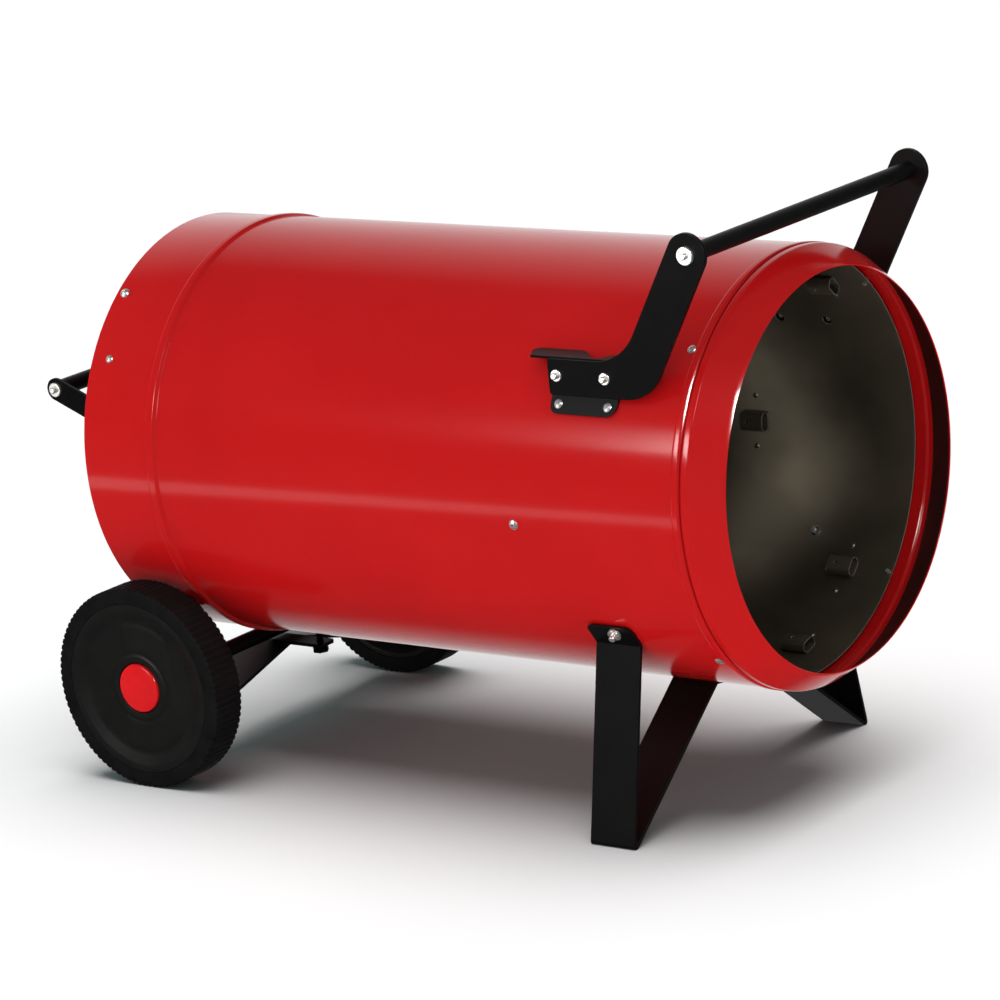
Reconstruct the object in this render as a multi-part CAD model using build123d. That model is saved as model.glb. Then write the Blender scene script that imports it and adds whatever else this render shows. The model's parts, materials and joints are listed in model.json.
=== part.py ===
from build123d import *
from math import cos, pi, radians, sin, tan
import os

# A wheeled gas fan heater: a steel drum with a converging outlet, a combustion liner
# inside it, a fan and burner at the back, two front legs, two rear wheels and two handles.
# Everything is drawn from the centre of the drum's rear rim, with +X along the drum towards
# the outlet, -Y towards the heater's right-hand side and +Z up. The last step moves it so
# that the origin lies on the floor under the middle of the whole heater.
# Angles round the drum start at the right-hand side and rise over the top.

# driving sizes, in millimetres
DRUM_RADIUS = 250.0
DRUM_LENGTH = 858.0
AXIS_HEIGHT = 388.0
SHEET = 1.2
OUTLET_X = 905.0
OUTLET_RADIUS = 229.3
REAR_BEAD_X = 104.0
LINER_RADIUS = 243.0
LINER_REAR_X = 300.0
LINER_FRONT_X = 848.0
STRAP_WIDTH = 60.0
STRAP_THICK = 4.0
LEG_X = 719.5
FOOT_Y = 240.5
AXLE_X = 51.5
AXLE_DROP = 265.0
AXLE_RADIUS = 9.5
WHEEL_RADIUS = 123.0
WHEEL_OUTER_Y = 264.0
WHEEL_WIDTH = 47.0
HANDLE_X = 879.5
HANDLE_Z = 292.8
HANDLE_PLATE_Y = 220.0
HANDLE_PLATE_THICK = 5.0
HANDLE_BAR_RADIUS = 10.0
REAR_HANDLE_X = -98.0
REAR_HANDLE_Z = 73.0
REAR_ARM_HALF = 13.8
BOX_HALF_WIDTH = 178.0
BOX_TOP = 50.0
BOX_BOTTOM = -150.0
BOX_REAR_X = 7.8
BOX_FRONT_X = 46.0

DRUM_INSIDE = DRUM_RADIUS - SHEET
SKIN_GAP = 0.3
FLOOR_Z = -AXIS_HEIGHT
REAR_END_X = REAR_HANDLE_X - REAR_ARM_HALF
MIDDLE_X = (OUTLET_X + REAR_END_X) / 2

# fasteners that pass through the drum: (x, angle) of each
FRONT_SCREWS = [(842.0, 45.0), (842.0, 135.0), (842.0, -45.0), (842.0, 225.0)]
SIDE_SCREWS = [(631.0, -4.2), (631.0, 184.2)]
GUARD_SCREWS = [(12.0, 50.4), (12.0, 129.6), (12.0, -62.0), (12.0, 242.0)]
BOX_SCREWS = [(26.0, 30.4), (26.0, 149.6), (26.0, -50.0), (26.0, 230.0)]
BRACKET_SCREWS = [(691.0, 27.7), (757.0, 27.7), (691.0, 152.3), (757.0, 152.3)]
LEG_TAB_BOLTS = [(LEG_X + 7.0, -35.1), (LEG_X + 7.0, 215.1), (LEG_X, -80.3), (LEG_X, 260.3)]
CARRIER_BOLTS = [(AXLE_X, -45.5), (AXLE_X, 225.5)]
STAY_X = 118.0
ARM_BOLTS = [(692.0, 150.0), (757.0, 150.0)]
REAR_ARM_BOLTS = [(16.0, 27.0), (36.0, 19.0)]


def rounded_face(corners):
    """Flat face from (a, b, radius) corners, each rounded by its own radius."""
    starts = []
    arcs = []
    ends = []
    for i, (a, b, radius) in enumerate(corners):
        here = Vector(a, b)
        back = (Vector(*corners[i - 1][:2]) - here).normalized()
        ahead = (Vector(*corners[(i + 1) % len(corners)][:2]) - here).normalized()
        half_angle = radians(back.get_angle(ahead)) / 2
        trim = radius / tan(half_angle)
        starts.append(here + back * trim)
        ends.append(here + ahead * trim)
        if radius > 0:
            middle = here + (back + ahead).normalized() * (radius / sin(half_angle) - radius)
            arcs.append(ThreePointArc(starts[-1], middle, ends[-1]))
    lines = []
    for i in range(len(corners)):
        if (starts[i] - ends[i - 1]).length > 1e-6:
            lines.append(Line(ends[i - 1], starts[i]))
    return make_face(lines + arcs)


def sheet_face(path, thickness, bend):
    """Edge-on view of folded sheet: path is its middle line, bend a fold's inside radius."""
    points = [Vector(*p) for p in path]
    steps = [(points[i + 1] - points[i]).normalized() for i in range(len(points) - 1)]
    left = []
    right = []
    for i, here in enumerate(points):
        before = steps[max(i - 1, 0)]
        after = steps[min(i, len(steps) - 1)]
        side_a = Vector(-before.Y, before.X)
        side_b = Vector(-after.Y, after.X)
        mitre = (side_a + side_b) * (thickness / 2 / (1 + side_a.dot(side_b)))
        turn = before.X * after.Y - before.Y * after.X
        inside = bend if abs(turn) > 1e-6 else 0
        outside = bend + thickness if abs(turn) > 1e-6 else 0
        left_point = here + mitre
        right_point = here - mitre
        left.append((left_point.X, left_point.Y, inside if turn > 0 else outside))
        right.append((right_point.X, right_point.Y, outside if turn > 0 else inside))
    return rounded_face(left + right[::-1])


def turned(face):
    """Face drawn as (x, radius), turned about the drum's axis."""
    return revolve(Plane.XZ * face, Axis.X, 360)


def turned_sheet(path, thickness, bend):
    return turned(sheet_face(path, thickness, bend))


def turned_ring(x_from, x_to, inner, outer):
    """Plain ring about the drum's axis."""
    return turned(rounded_face([(x_from, inner, 0), (x_to, inner, 0), (x_to, outer, 0), (x_from, outer, 0)]))


def turned_upright(face):
    """Face drawn as (radius, z), turned about the Z axis."""
    return revolve(Plane.XZ * face, Axis.Z, 360)


def slab_yz(face, x_from, x_to):
    """Face drawn as (y, z), thickened along X."""
    return extrude(Plane.YZ.offset(x_from) * face, x_to - x_from)


def slab_xz(face, y_from, y_to):
    """Face drawn as (x, z), thickened along Y."""
    return Pos(0, y_to, 0) * extrude(Plane.XZ * face, y_to - y_from)


def slab_xy(face, z_from, z_to):
    """Face drawn as (x, y), thickened along Z."""
    return extrude(Plane.XY.offset(z_from) * face, z_to - z_from)


def block(x_from, x_to, y_from, y_to, z_from, z_to):
    size = Box(x_to - x_from, y_to - y_from, z_to - z_from)
    return Pos((x_from + x_to) / 2, (y_from + y_to) / 2, (z_from + z_to) / 2) * size


def rod_x(x_from, x_to, y, z, radius):
    return Pos((x_from + x_to) / 2, y, z) * Rot(0, 90, 0) * Cylinder(radius, x_to - x_from)


def rod_y(y_from, y_to, x, z, radius):
    return Pos(x, (y_from + y_to) / 2, z) * Rot(90, 0, 0) * Cylinder(radius, y_to - y_from)


def rod_z(z_from, z_to, x, y, radius):
    return Pos(x, y, (z_from + z_to) / 2) * Cylinder(radius, z_to - z_from)


def on_skin(x, angle, shape, radius=DRUM_RADIUS):
    """Shape drawn about +Z, set on the drum at (x, angle) so that +Z points outward."""
    return Pos(x, 0, 0) * Rot(90 - angle, 0, 0) * Pos(0, 0, radius) * shape


def skin_point(angle, radius):
    """(y, z) of a point at an angle round the drum."""
    return (-radius * cos(radians(angle)), radius * sin(radians(angle)))


def drilled(shape, places, radius, reach=30.0):
    """Shape with a radial hole at each (x, angle) place on the drum."""
    for x, angle in places:
        shape -= on_skin(x, angle, Cylinder(radius, reach))
    return shape


def both_sides(shape):
    return [shape, mirror(shape, Plane.XZ)]


def domed_head(radius, height):
    """Round fastener head standing on z = 0."""
    ball = (radius ** 2 + height ** 2) / (2 * height)
    return Pos(0, 0, height - ball) * Sphere(ball) & Pos(0, 0, height) * Cylinder(radius, 2 * height)


def pan_screw(head_radius, head_height, shank_radius, shank_length, lift=0.0):
    """Screw with its head on z = lift and its shank below."""
    head = Pos(0, 0, lift) * domed_head(head_radius, head_height)
    recess = Pos(0, 0, lift + head_height) * Cylinder(head_radius * 0.3, head_height * 0.7)
    shank = rod_z(-shank_length, lift, 0, 0, shank_radius)
    return head - recess + shank


def blind_rivet(head_radius, head_height, shank_radius, shank_length, lift=0.0):
    """Rivet with a low head on z = lift and the open bore that its pulled pin leaves."""
    head = Pos(0, 0, lift) * domed_head(head_radius, head_height)
    bore = rod_z(lift - 1.5, lift + head_height + 1, 0, 0, head_radius * 0.3)
    return head + rod_z(-shank_length, lift + 0.5, 0, 0, shank_radius) - bore


def nut_and_end(nut_radius, nut_height, end_height, shank_radius, shank_length, lift=0.0):
    """Round nut on z = lift, the bolt's rounded end standing out of it, and the shank below."""
    top = lift + nut_height
    return turned_upright(rounded_face([
        (0, -shank_length, 0), (shank_radius, -shank_length, 0.6), (shank_radius, lift, 0),
        (nut_radius, lift, 0), (nut_radius, top, 0.8), (shank_radius, top, 0),
        (shank_radius, top + end_height, 1.4), (0, top + end_height, 0)]))


def hex_bolt(across_flats, head_height, shank_radius, shank_length, lift=0.0):
    """Hexagon head with a washer face on z = lift, and its shank below."""
    head = slab_xy(RegularPolygon(across_flats / 2, 6, major_radius=False), 1.5, head_height)
    washer = Cylinder(across_flats * 0.62, 1.5, align=(Align.CENTER, Align.CENTER, Align.MIN))
    tip = Pos(0, 0, head_height) * Cylinder(shank_radius, 5, align=(Align.CENTER, Align.CENTER, Align.MIN))
    shank = rod_z(-shank_length, lift, 0, 0, shank_radius)
    return Pos(0, 0, lift) * (head + washer + tip) + shank


def bead(x, half_width, height, radius):
    """Middle line of a pressed bead that stands out of a cylinder."""
    slope = height * 1.1
    return [(x - half_width, radius), (x - half_width + slope, radius + height),
            (x + half_width - slope, radius + height), (x + half_width, radius)]


# ---- drum, outlet and liner

def drum_shell():
    middle = DRUM_RADIUS - SHEET / 2
    path = [(0, middle)] + bead(REAR_BEAD_X, 8.0, 3.4, middle) + bead(853.0, 5.0, 1.9, middle)
    drum = turned_sheet(path, SHEET, 1.2)
    drum = drilled(drum, FRONT_SCREWS + SIDE_SCREWS + GUARD_SCREWS + BOX_SCREWS, 2.6)
    drum = drilled(drum, BRACKET_SCREWS, 3.2)
    drum = drilled(drum, LEG_TAB_BOLTS + CARRIER_BOLTS, 4.2)
    return drum - rod_z(-DRUM_RADIUS - 1, -200, STAY_X, 0, 4.3)


def outlet_cone():
    sleeve = DRUM_INSIDE - 0.2 - SHEET / 2
    shoulder = DRUM_RADIUS + 0.4
    path = [(833, sleeve), (859.6, sleeve), (861.9, shoulder), (869, shoulder),
            (OUTLET_X - 3.4, OUTLET_RADIUS + 0.6), (OUTLET_X, OUTLET_RADIUS - 2.2)]
    cone = turned_sheet(path, SHEET, 0.8) & turned_ring(800, OUTLET_X, OUTLET_RADIUS - 20, DRUM_RADIUS + 20)
    return drilled(cone, FRONT_SCREWS, 2.6)


# (x, angle) of the middle of each clip
LINER_CLIPS = [(787.0, 45.0), (787.0, 135.0), (783.0, -45.5), (783.0, 225.5),
               (789.0, -77.0), (789.0, 257.0), (628.0, -5.5), (628.0, 185.5)]
CLIP_LENGTH = 32.0
CLIP_HEIGHT = 14.5
CLIP_WALL = 1.2
RIVET_ANGLE = 7.2


def combustion_liner():
    liner = turned_ring(LINER_REAR_X, LINER_FRONT_X, LINER_RADIUS - 1.0, LINER_RADIUS)
    liner = drilled(liner, FRONT_SCREWS + SIDE_SCREWS, 2.8)
    liner = drilled(liner, BRACKET_SCREWS + LEG_TAB_BOLTS, 6.0)
    for x, angle in LINER_CLIPS:
        liner = drilled(liner, [(x, angle - RIVET_ANGLE), (x, angle + RIVET_ANGLE)], 1.7)
    return liner


def liner_clips():
    """Short loops of flattened tube welded inside the liner, each with a hole in its crest."""
    top = LINER_RADIUS - 1.2
    bottom = top - CLIP_HEIGHT
    wall = CLIP_WALL
    outer = rounded_face([(-13, top, 6), (13, top, 6), (10.5, bottom, 6), (-10.5, bottom, 6)])
    inner = rounded_face([(-13 + wall, top - wall, 4.8), (13 - wall, top - wall, 4.8),
                          (10.5 - wall, bottom + wall, 4.8), (-10.5 + wall, bottom + wall, 4.8)])
    loop = slab_yz(outer - inner, -CLIP_LENGTH / 2, CLIP_LENGTH / 2)
    loop -= rod_z(bottom - 1, bottom + 3, -5, 0, 2.5)
    return [drilled(on_skin(x, angle, loop, 0), SIDE_SCREWS, 2.8) for x, angle in LINER_CLIPS]


def clip_rivets():
    """Two rivets beside each clip, with their domed heads on the inside of the liner."""
    rivets = []
    for x, angle in LINER_CLIPS:
        for turn in (-RIVET_ANGLE, RIVET_ANGLE):
            rivet = Rot(180, 0, 0) * domed_head(3.4, 1.8) + rod_z(0, 2.6, 0, 0, 1.5)
            rivets.append(on_skin(x, angle + turn, rivet, LINER_RADIUS - 1.1))
    return rivets


# ---- burner

DISC_X = 290.0
CUP_RIM_RADIUS = 97.0
ELECTRODES = [100.0, 262.0]
ELECTRODE_RADIUS = 130.0


def flame_disc():
    wall = LINER_RADIUS - 1.0 - 0.3 - 0.75
    disc = turned_sheet([(DISC_X, 88), (DISC_X, 120), (DISC_X + 16, wall), (DISC_X + 30, wall)], 1.5, 1.5)
    for ring, count in ((150, 18), (180, 24), (210, 30)):
        for i in range(count):
            disc -= on_skin(DISC_X + 8, 360 * i / count + 4, Rot(0, 90, 0) * Cylinder(6, 30), ring)
    for angle in ELECTRODES:
        disc -= on_skin(DISC_X, angle, Rot(0, 90, 0) * Cylinder(5.3, 20), ELECTRODE_RADIUS)
    return disc


def burner_cup():
    rear = DISC_X - 28.0
    seat = DISC_X - 0.75 - 0.75 - 0.05
    cup = turned_sheet([(rear, 14), (rear, 60), (seat, CUP_RIM_RADIUS), (seat, 112)], 1.5, 1.5)
    for i in range(16):
        cup -= on_skin(rear, 360 * i / 16, Rot(0, 90, 0) * Cylinder(4, 8), 42)
    return cup


def target_disc():
    """Dished flame holder on three welded studs that stand on the back of the cup."""
    rear = DISC_X - 28.0 + 0.75
    face = DISC_X + 30.0
    disc = turned_sheet([(face, 10), (face, 40), (face - 8, 56)], 2.0, 2.0)
    for angle in (30, 150, 270):
        disc += on_skin((rear + face) / 2, angle, Rot(0, 90, 0) * Cylinder(2.5, face - rear), 26)
    return disc


def gas_injector():
    """Brass body fed from its side, with its nozzle in the back of the cup."""
    body = Pos(236, 0, 0) * Rot(0, 90, 0) * extrude(RegularPolygon(13, 6), 24)
    nozzle = Pos(259, 0, 0) * Rot(0, 90, 0) * Cone(9, 5, 18, align=(Align.CENTER, Align.CENTER, Align.MIN))
    jet = rod_x(240, 290, 0, 0, 1.2)
    injector = body + nozzle - jet
    elbow = on_skin(246, 225, Cylinder(7, 14), 15)
    return injector + elbow - on_skin(246, 225, Cylinder(4.1, 12), 18)


PIPE_RADIUS = 4.0
PIPE_ANGLE = 225.0


def gas_pipe():
    """Pipe from the valve, out past the fan along the drum wall, then in to the injector."""
    stations = [(50, 158), (74, 158), (118, 230), (246, 230), (246, 14)]
    points = []
    for x, radius in stations:
        y, z = skin_point(PIPE_ANGLE, radius)
        points.append((x, y, z))
    route = FilletPolyline(*points, radius=14)
    return sweep(Plane(origin=route @ 0, z_dir=route % 0) * Circle(PIPE_RADIUS), path=route)


def electrode_rods():
    """Spark rod and flame-sensing rod, each bent in towards the target disc."""
    rods = []
    for angle in ELECTRODES:
        route = FilletPolyline((-32, 0, 0), (34, 0, 0), (44, 0, -34), radius=6)
        rod = sweep(Plane(origin=route @ 0, z_dir=route % 0) * Circle(1.2), path=route)
        rods.append(on_skin(DISC_X, angle, rod, ELECTRODE_RADIUS))
    return rods


def electrode_insulators():
    insulators = []
    for angle in ELECTRODES:
        face = rounded_face([(-24, 1.3, 0), (24, 1.3, 0), (24, 4, 1), (3, 5, 0), (3, 8, 1), (-3, 8, 1),
                             (-3, 5, 0), (-24, 4, 1)])
        body = revolve(Plane.XZ * face, Axis.X, 360)
        insulators.append(on_skin(DISC_X - 4.2, angle, body, ELECTRODE_RADIUS))
    return insulators


def overheat_thermostat():
    """Button thermostat on the back of the flame disc."""
    radius = 226.0
    x = DISC_X + 13.0
    face = rounded_face([(x - 14, 0, 0), (x - 1.2, 0, 0), (x - 1.2, 8, 0), (x - 14, 8, 1.5)])
    button = revolve(Plane.XZ * face, Axis.X, 360)
    tab = block(x - 24, x - 13, 3, 4, -2.5, 2.5) + block(x - 24, x - 13, -4, -3, -2.5, 2.5)
    return on_skin(0, 75, button + tab, radius)


# ---- fan, motor and inlet guard

FAN_X = 182.0
FAN_RADIUS = 200.0
HUB_RADIUS = 36.0
SHAFT_RADIUS = 6.0
MOTOR_REAR_X = 72.0
MOTOR_FRONT_X = 150.0
MOTOR_RADIUS = 58.0
GUARD_X = 52.0


def motor_body():
    face = rounded_face([(MOTOR_REAR_X, 0, 0), (MOTOR_FRONT_X + 8, 0, 0), (MOTOR_FRONT_X + 8, 16, 1),
                         (MOTOR_FRONT_X, 18, 0), (MOTOR_FRONT_X, MOTOR_RADIUS, 8),
                         (MOTOR_REAR_X, MOTOR_RADIUS, 12)])
    motor = turned(face)
    for i in range(8):
        slot = block(MOTOR_REAR_X - 1, MOTOR_REAR_X + 4, -3, 3, 22, 44)
        motor -= Rot(45 * i, 0, 0) * slot
    return motor - rod_x(MOTOR_REAR_X + 30, MOTOR_FRONT_X + 10, 0, 0, SHAFT_RADIUS + 0.05)


def motor_strap():
    """Steel strap across the drum, with a ring that grips the motor."""
    ring = turned_ring(98, 124, MOTOR_RADIUS + 0.3, MOTOR_RADIUS + 3.3)
    arms = []
    for side in (-1, 1):
        inner = side * (MOTOR_RADIUS + 2.0)
        outer = side * (DRUM_INSIDE - 2.6)
        web = block(109, 113, min(inner, outer), max(inner, outer), -16, 16)
        foot = block(109, 138, min(outer, outer + side * 1.8), max(outer, outer + side * 1.8), -14, 14)
        arms.append(web + foot)
    return ring + arms[0] + arms[1]


def fan_shaft():
    return rod_x(MOTOR_REAR_X + 32, FAN_X + 24, 0, 0, SHAFT_RADIUS)


def fan_impeller():
    """Hub with five cambered blades."""
    hub_face = rounded_face([(FAN_X - 18, SHAFT_RADIUS + 0.03, 0), (FAN_X + 18, SHAFT_RADIUS + 0.03, 0),
                             (FAN_X + 18, HUB_RADIUS, 4), (FAN_X - 18, HUB_RADIUS, 2)])
    fan = turned(hub_face)
    camber = 9.0
    chord = 84.0
    outer_arc = ThreePointArc((-chord / 2, 0), (0, camber), (chord / 2, 0))
    inner_arc = ThreePointArc((-chord / 2, -2), (0, camber - 2), (chord / 2, -2))
    ends = [Line((-chord / 2, -2), (-chord / 2, 0)), Line((chord / 2, -2), (chord / 2, 0))]
    blade = slab_xy(make_face([outer_arc, inner_arc] + ends), HUB_RADIUS - 4, FAN_RADIUS)
    blade = Pos(FAN_X, 0, 0) * Rot(0, 0, 55) * blade
    limit = turned_ring(FAN_X - 40, FAN_X + 40, HUB_RADIUS - 4, FAN_RADIUS)
    blade = blade & limit
    for i in range(5):
        fan += Rot(72 * i, 0, 0) * blade
    return fan


def fan_ring():
    """Ring that closes the gap between the fan's tips and the drum."""
    wall = DRUM_INSIDE - 0.4 - 0.75
    ring = turned_sheet([(FAN_X - 8, 210), (FAN_X, 215), (FAN_X, wall), (FAN_X + 14, wall)], 1.5, 1.5)
    return ring - on_skin(FAN_X, PIPE_ANGLE, Rot(0, 90, 0) * Cylinder(6, 30), 230)


def inlet_guard():
    """Concentric wires on eight spokes."""
    spoke_x = GUARD_X + 2.7
    guard = Pos(GUARD_X, 0, 0) * Rot(0, 90, 0) * Torus(234, 2.2)
    for radius in (32, 52, 72, 92, 112, 132, 142, 174, 194, 214):
        guard += Pos(GUARD_X, 0, 0) * Rot(0, 90, 0) * Torus(radius, 1.5)
    for i in range(8):
        spoke = rod_z(31, 235, spoke_x, 0, 1.5)
        guard += Rot(45 * i + 22.5, 0, 0) * spoke
    return guard


def guard_lugs():
    """Four angles that carry the guard's outer wire, screwed to the drum near its rear rim."""
    wire = GUARD_X - 2.2 - 0.1
    lugs = []
    for x, angle in GUARD_SCREWS:
        strip = block(6 - x, wire - x, -8, 8, -3.4, -1.8)
        foot = block(wire - 1.6 - x, wire - x, -8, 8, -19, -1.8)
        lugs.append(on_skin(x, angle, strip + foot - Cylinder(2.6, 20)))
    return lugs


# ---- control box at the back

PANEL_CORNERS = [(-170.0, 42.0), (170.0, 42.0), (-170.0, -142.0), (170.0, -142.0)]
BOSS_HALF = 7.0


def control_box():
    outer = block(BOX_REAR_X, BOX_FRONT_X, -BOX_HALF_WIDTH, BOX_HALF_WIDTH, BOX_BOTTOM, BOX_TOP)
    inner = block(BOX_REAR_X - 1, BOX_FRONT_X - SHEET, -BOX_HALF_WIDTH + SHEET, BOX_HALF_WIDTH - SHEET,
                  BOX_BOTTOM + SHEET, BOX_TOP - SHEET)
    box = outer - inner
    y, z = skin_point(PIPE_ANGLE, 158)
    box -= rod_x(40, 60, y, z, 7)
    for side in (-1, 1):
        for x, height in REAR_ARM_BOLTS:
            box -= rod_y(min(side * 170, side * 190), max(side * 170, side * 190), x, height, 4.2)
    for y, z in PANEL_CORNERS:
        box += block(BOX_REAR_X, BOX_REAR_X + 10, y - BOSS_HALF, y + BOSS_HALF, z - BOSS_HALF, z + BOSS_HALF)
        box -= rod_x(BOX_REAR_X - 1, BOX_REAR_X + 11, y, z, 1.7)
    return box


SWITCH_YZ = (-110.0, -10.0)
RESET_YZ = (-60.0, -10.0)
LAMP_YZ = (-24.0, -10.0)
SOCKET_YZ = (-110.0, -105.0)
GLAND_YZ = (-50.0, -115.0)
GAS_YZ = (112.0, -112.0)
SWITCH_WIDTH = 24.0
SWITCH_HEIGHT = 32.0
RESET_RADIUS = 7.0
PANEL_REAR_X = BOX_REAR_X - 1.5
ROCKER_PIVOT_X = PANEL_REAR_X + 3.0
ROCKER_PIVOT_RADIUS = 1.5


def control_panel():
    face = rounded_face([(-BOX_HALF_WIDTH, BOX_BOTTOM, 4), (BOX_HALF_WIDTH, BOX_BOTTOM, 4),
                         (BOX_HALF_WIDTH, BOX_TOP, 4), (-BOX_HALF_WIDTH, BOX_TOP, 4)])
    panel = slab_yz(face, PANEL_REAR_X, BOX_REAR_X)
    y, z = SWITCH_YZ
    panel -= block(0, 20, y - SWITCH_WIDTH / 2, y + SWITCH_WIDTH / 2,
                   z - SWITCH_HEIGHT / 2, z + SWITCH_HEIGHT / 2)
    for (y, z), radius in ((RESET_YZ, 9.0), (LAMP_YZ, 5.0), (SOCKET_YZ, 14.0), (GLAND_YZ, 9.5),
                           (GAS_YZ, 11.0)):
        panel -= rod_x(0, 20, y, z, radius)
    for y, z in PANEL_CORNERS:
        panel -= rod_x(0, 20, y, z, 2.2)
    return panel


def panel_screws():
    screws = []
    for y, z in PANEL_CORNERS:
        screw = Pos(PANEL_REAR_X, y, z) * Rot(0, -90, 0) * pan_screw(4.0, 2.2, 1.6, 10.0)
        screws.append(screw)
    return screws


def box_hangers():
    """Four folded straps that hang the box from the drum's wall."""
    reach = DRUM_INSIDE - 1.9
    upper = [(-140, BOX_TOP + 1.3), (-170, BOX_TOP + 1.3), skin_point(25.5, reach), skin_point(35.5, reach)]
    lower = [(-120, BOX_BOTTOM - 1.3), (-140, BOX_BOTTOM - 1.3), skin_point(-54.5, reach),
             skin_point(-45.5, reach)]
    lower = lower[:2] + [skin_point(-54.5, reach - 0.2), skin_point(-46, reach - 0.2)]
    straps = []
    for path in (upper, lower):
        strap = slab_yz(sheet_face(path, 2.4, 1.2), 14, 38)
        straps += both_sides(strap)
    return [drilled(strap, BOX_SCREWS, 2.6) for strap in straps]


def power_switch_body():
    """Frame of the three-position rocker switch, open at the back of the panel."""
    y, z = SWITCH_YZ
    flange = slab_yz(rounded_face([(y - 15, z - 19, 2), (y + 15, z - 19, 2), (y + 15, z + 19, 2),
                                   (y - 15, z + 19, 2)]), PANEL_REAR_X - 2, PANEL_REAR_X)
    half_w = SWITCH_WIDTH / 2 - 0.3
    half_h = SWITCH_HEIGHT / 2 - 0.3
    body = block(PANEL_REAR_X - 1, PANEL_REAR_X + 24, y - half_w, y + half_w, z - half_h, z + half_h)
    well = block(PANEL_REAR_X - 3, PANEL_REAR_X + 14, y - 9, y + 9, z - 13.4, z + 13.4)
    pivot = rod_y(y - 9.5, y + 9.5, ROCKER_PIVOT_X, z, ROCKER_PIVOT_RADIUS)
    return flange + body - well + pivot


def power_rocker():
    """Rocker on a level pivot; it stands in its middle, off position."""
    y, z = SWITCH_YZ
    face = rounded_face([(PANEL_REAR_X - 3.2, z, 20), (PANEL_REAR_X - 4.6, z + 11.8, 0.8),
                         (PANEL_REAR_X + 1, z + 11.8, 1), (PANEL_REAR_X + 7, z + 5, 2),
                         (PANEL_REAR_X + 7, z - 5, 2), (PANEL_REAR_X + 1, z - 11.8, 1),
                         (PANEL_REAR_X - 4.6, z - 11.8, 0.8)])
    rocker = slab_xz(face, y - 8.6, y + 8.6)
    return rocker - rod_y(y - 9, y + 9, ROCKER_PIVOT_X, z, ROCKER_PIVOT_RADIUS + 0.05)


def reset_button_collar():
    y, z = RESET_YZ
    face = rounded_face([(PANEL_REAR_X - 4, 7.5, 0.5), (PANEL_REAR_X - 0.1, 7.5, 0),
                         (PANEL_REAR_X + 16, 7.5, 0), (PANEL_REAR_X + 16, 8.8, 0), (PANEL_REAR_X, 8.8, 0),
                         (PANEL_REAR_X, 12, 0), (PANEL_REAR_X - 4, 11, 1)])
    base = rod_x(PANEL_REAR_X + 14, PANEL_REAR_X + 16, 0, 0, 8.8)
    return Pos(0, y, z) * (turned(face) + base)


def reset_button():
    y, z = RESET_YZ
    face = rounded_face([(PANEL_REAR_X - 7, 0, 0), (PANEL_REAR_X + 9, 0, 0),
                         (PANEL_REAR_X + 9, RESET_RADIUS, 0), (PANEL_REAR_X - 7, RESET_RADIUS, 1.5)])
    return Pos(0, y, z) * turned(face)


def fault_lamp():
    y, z = LAMP_YZ
    face = rounded_face([(PANEL_REAR_X - 6, 0, 0), (PANEL_REAR_X + 14, 0, 0), (PANEL_REAR_X + 14, 4.7, 0),
                         (PANEL_REAR_X, 4.7, 0), (PANEL_REAR_X, 7.5, 0), (PANEL_REAR_X - 2, 7.5, 1),
                         (PANEL_REAR_X - 6, 5.0, 3)])
    return Pos(0, y, z) * turned(face)


def thermostat_socket():
    """Round socket for a room thermostat, closed by its screw cap."""
    y, z = SOCKET_YZ
    face = rounded_face([(PANEL_REAR_X - 16, 0, 0), (PANEL_REAR_X + 20, 0, 0), (PANEL_REAR_X + 20, 13.5, 1),
                         (PANEL_REAR_X, 13.5, 0), (PANEL_REAR_X, 18, 0), (PANEL_REAR_X - 3, 18, 1),
                         (PANEL_REAR_X - 3, 15, 0), (PANEL_REAR_X - 16, 14, 2)])
    socket = turned(face)
    for i in range(12):
        socket -= Rot(30 * i, 0, 0) * rod_x(PANEL_REAR_X - 20, PANEL_REAR_X - 5, 0, 16, 1.8)
    return Pos(0, y, z) * socket


CORD_RADIUS = 4.5


def cable_gland():
    """Screwed gland through which the supply cord enters."""
    y, z = GLAND_YZ
    nut = Pos(PANEL_REAR_X - 7, 0, 0) * Rot(0, 90, 0) * extrude(RegularPolygon(13, 6), 7)
    dome = turned(rounded_face([(PANEL_REAR_X - 24, 0, 0), (PANEL_REAR_X, 0, 0), (PANEL_REAR_X, 11, 0),
                                (PANEL_REAR_X - 16, 11, 3), (PANEL_REAR_X - 24, 8, 2)]))
    thread = rod_x(PANEL_REAR_X, PANEL_REAR_X + 16, 0, 0, 9.2)
    return Pos(0, y, z) * (nut + dome + thread - rod_x(-40, 60, 0, 0, CORD_RADIUS))


GAS_THREAD_RADIUS = 8.3


def gas_inlet_nipple():
    """Brass nipple that takes the nut of a gas hose."""
    y, z = GAS_YZ
    thread = rod_x(PANEL_REAR_X - 30, PANEL_REAR_X - 6, 0, 0, GAS_THREAD_RADIUS)
    nut = Pos(PANEL_REAR_X - 6.5, 0, 0) * Rot(0, 90, 0) * extrude(RegularPolygon(13, 6), 6)
    stem = rod_x(PANEL_REAR_X - 1, PANEL_REAR_X + 7.9, 0, 0, 9.5)
    return Pos(0, y, z) * (thread + nut + stem - rod_x(-40, 60, 0, 0, 4.0))


def gas_valve():
    """Solenoid valve body between the nipple and the pipe."""
    y, z = GAS_YZ
    body = block(PANEL_REAR_X + 8, PANEL_REAR_X + 34, y - 22, y + 22, z - 18, z + 18)
    spout = rod_x(PANEL_REAR_X + 30, 49.9, y, z, 6.5)
    stub = rod_z(z + 17, z + 22, PANEL_REAR_X + 21, y, 9)
    pin = rod_z(z + 20, z + 54, PANEL_REAR_X + 21, y, 4)
    return body + spout + stub + pin


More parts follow.
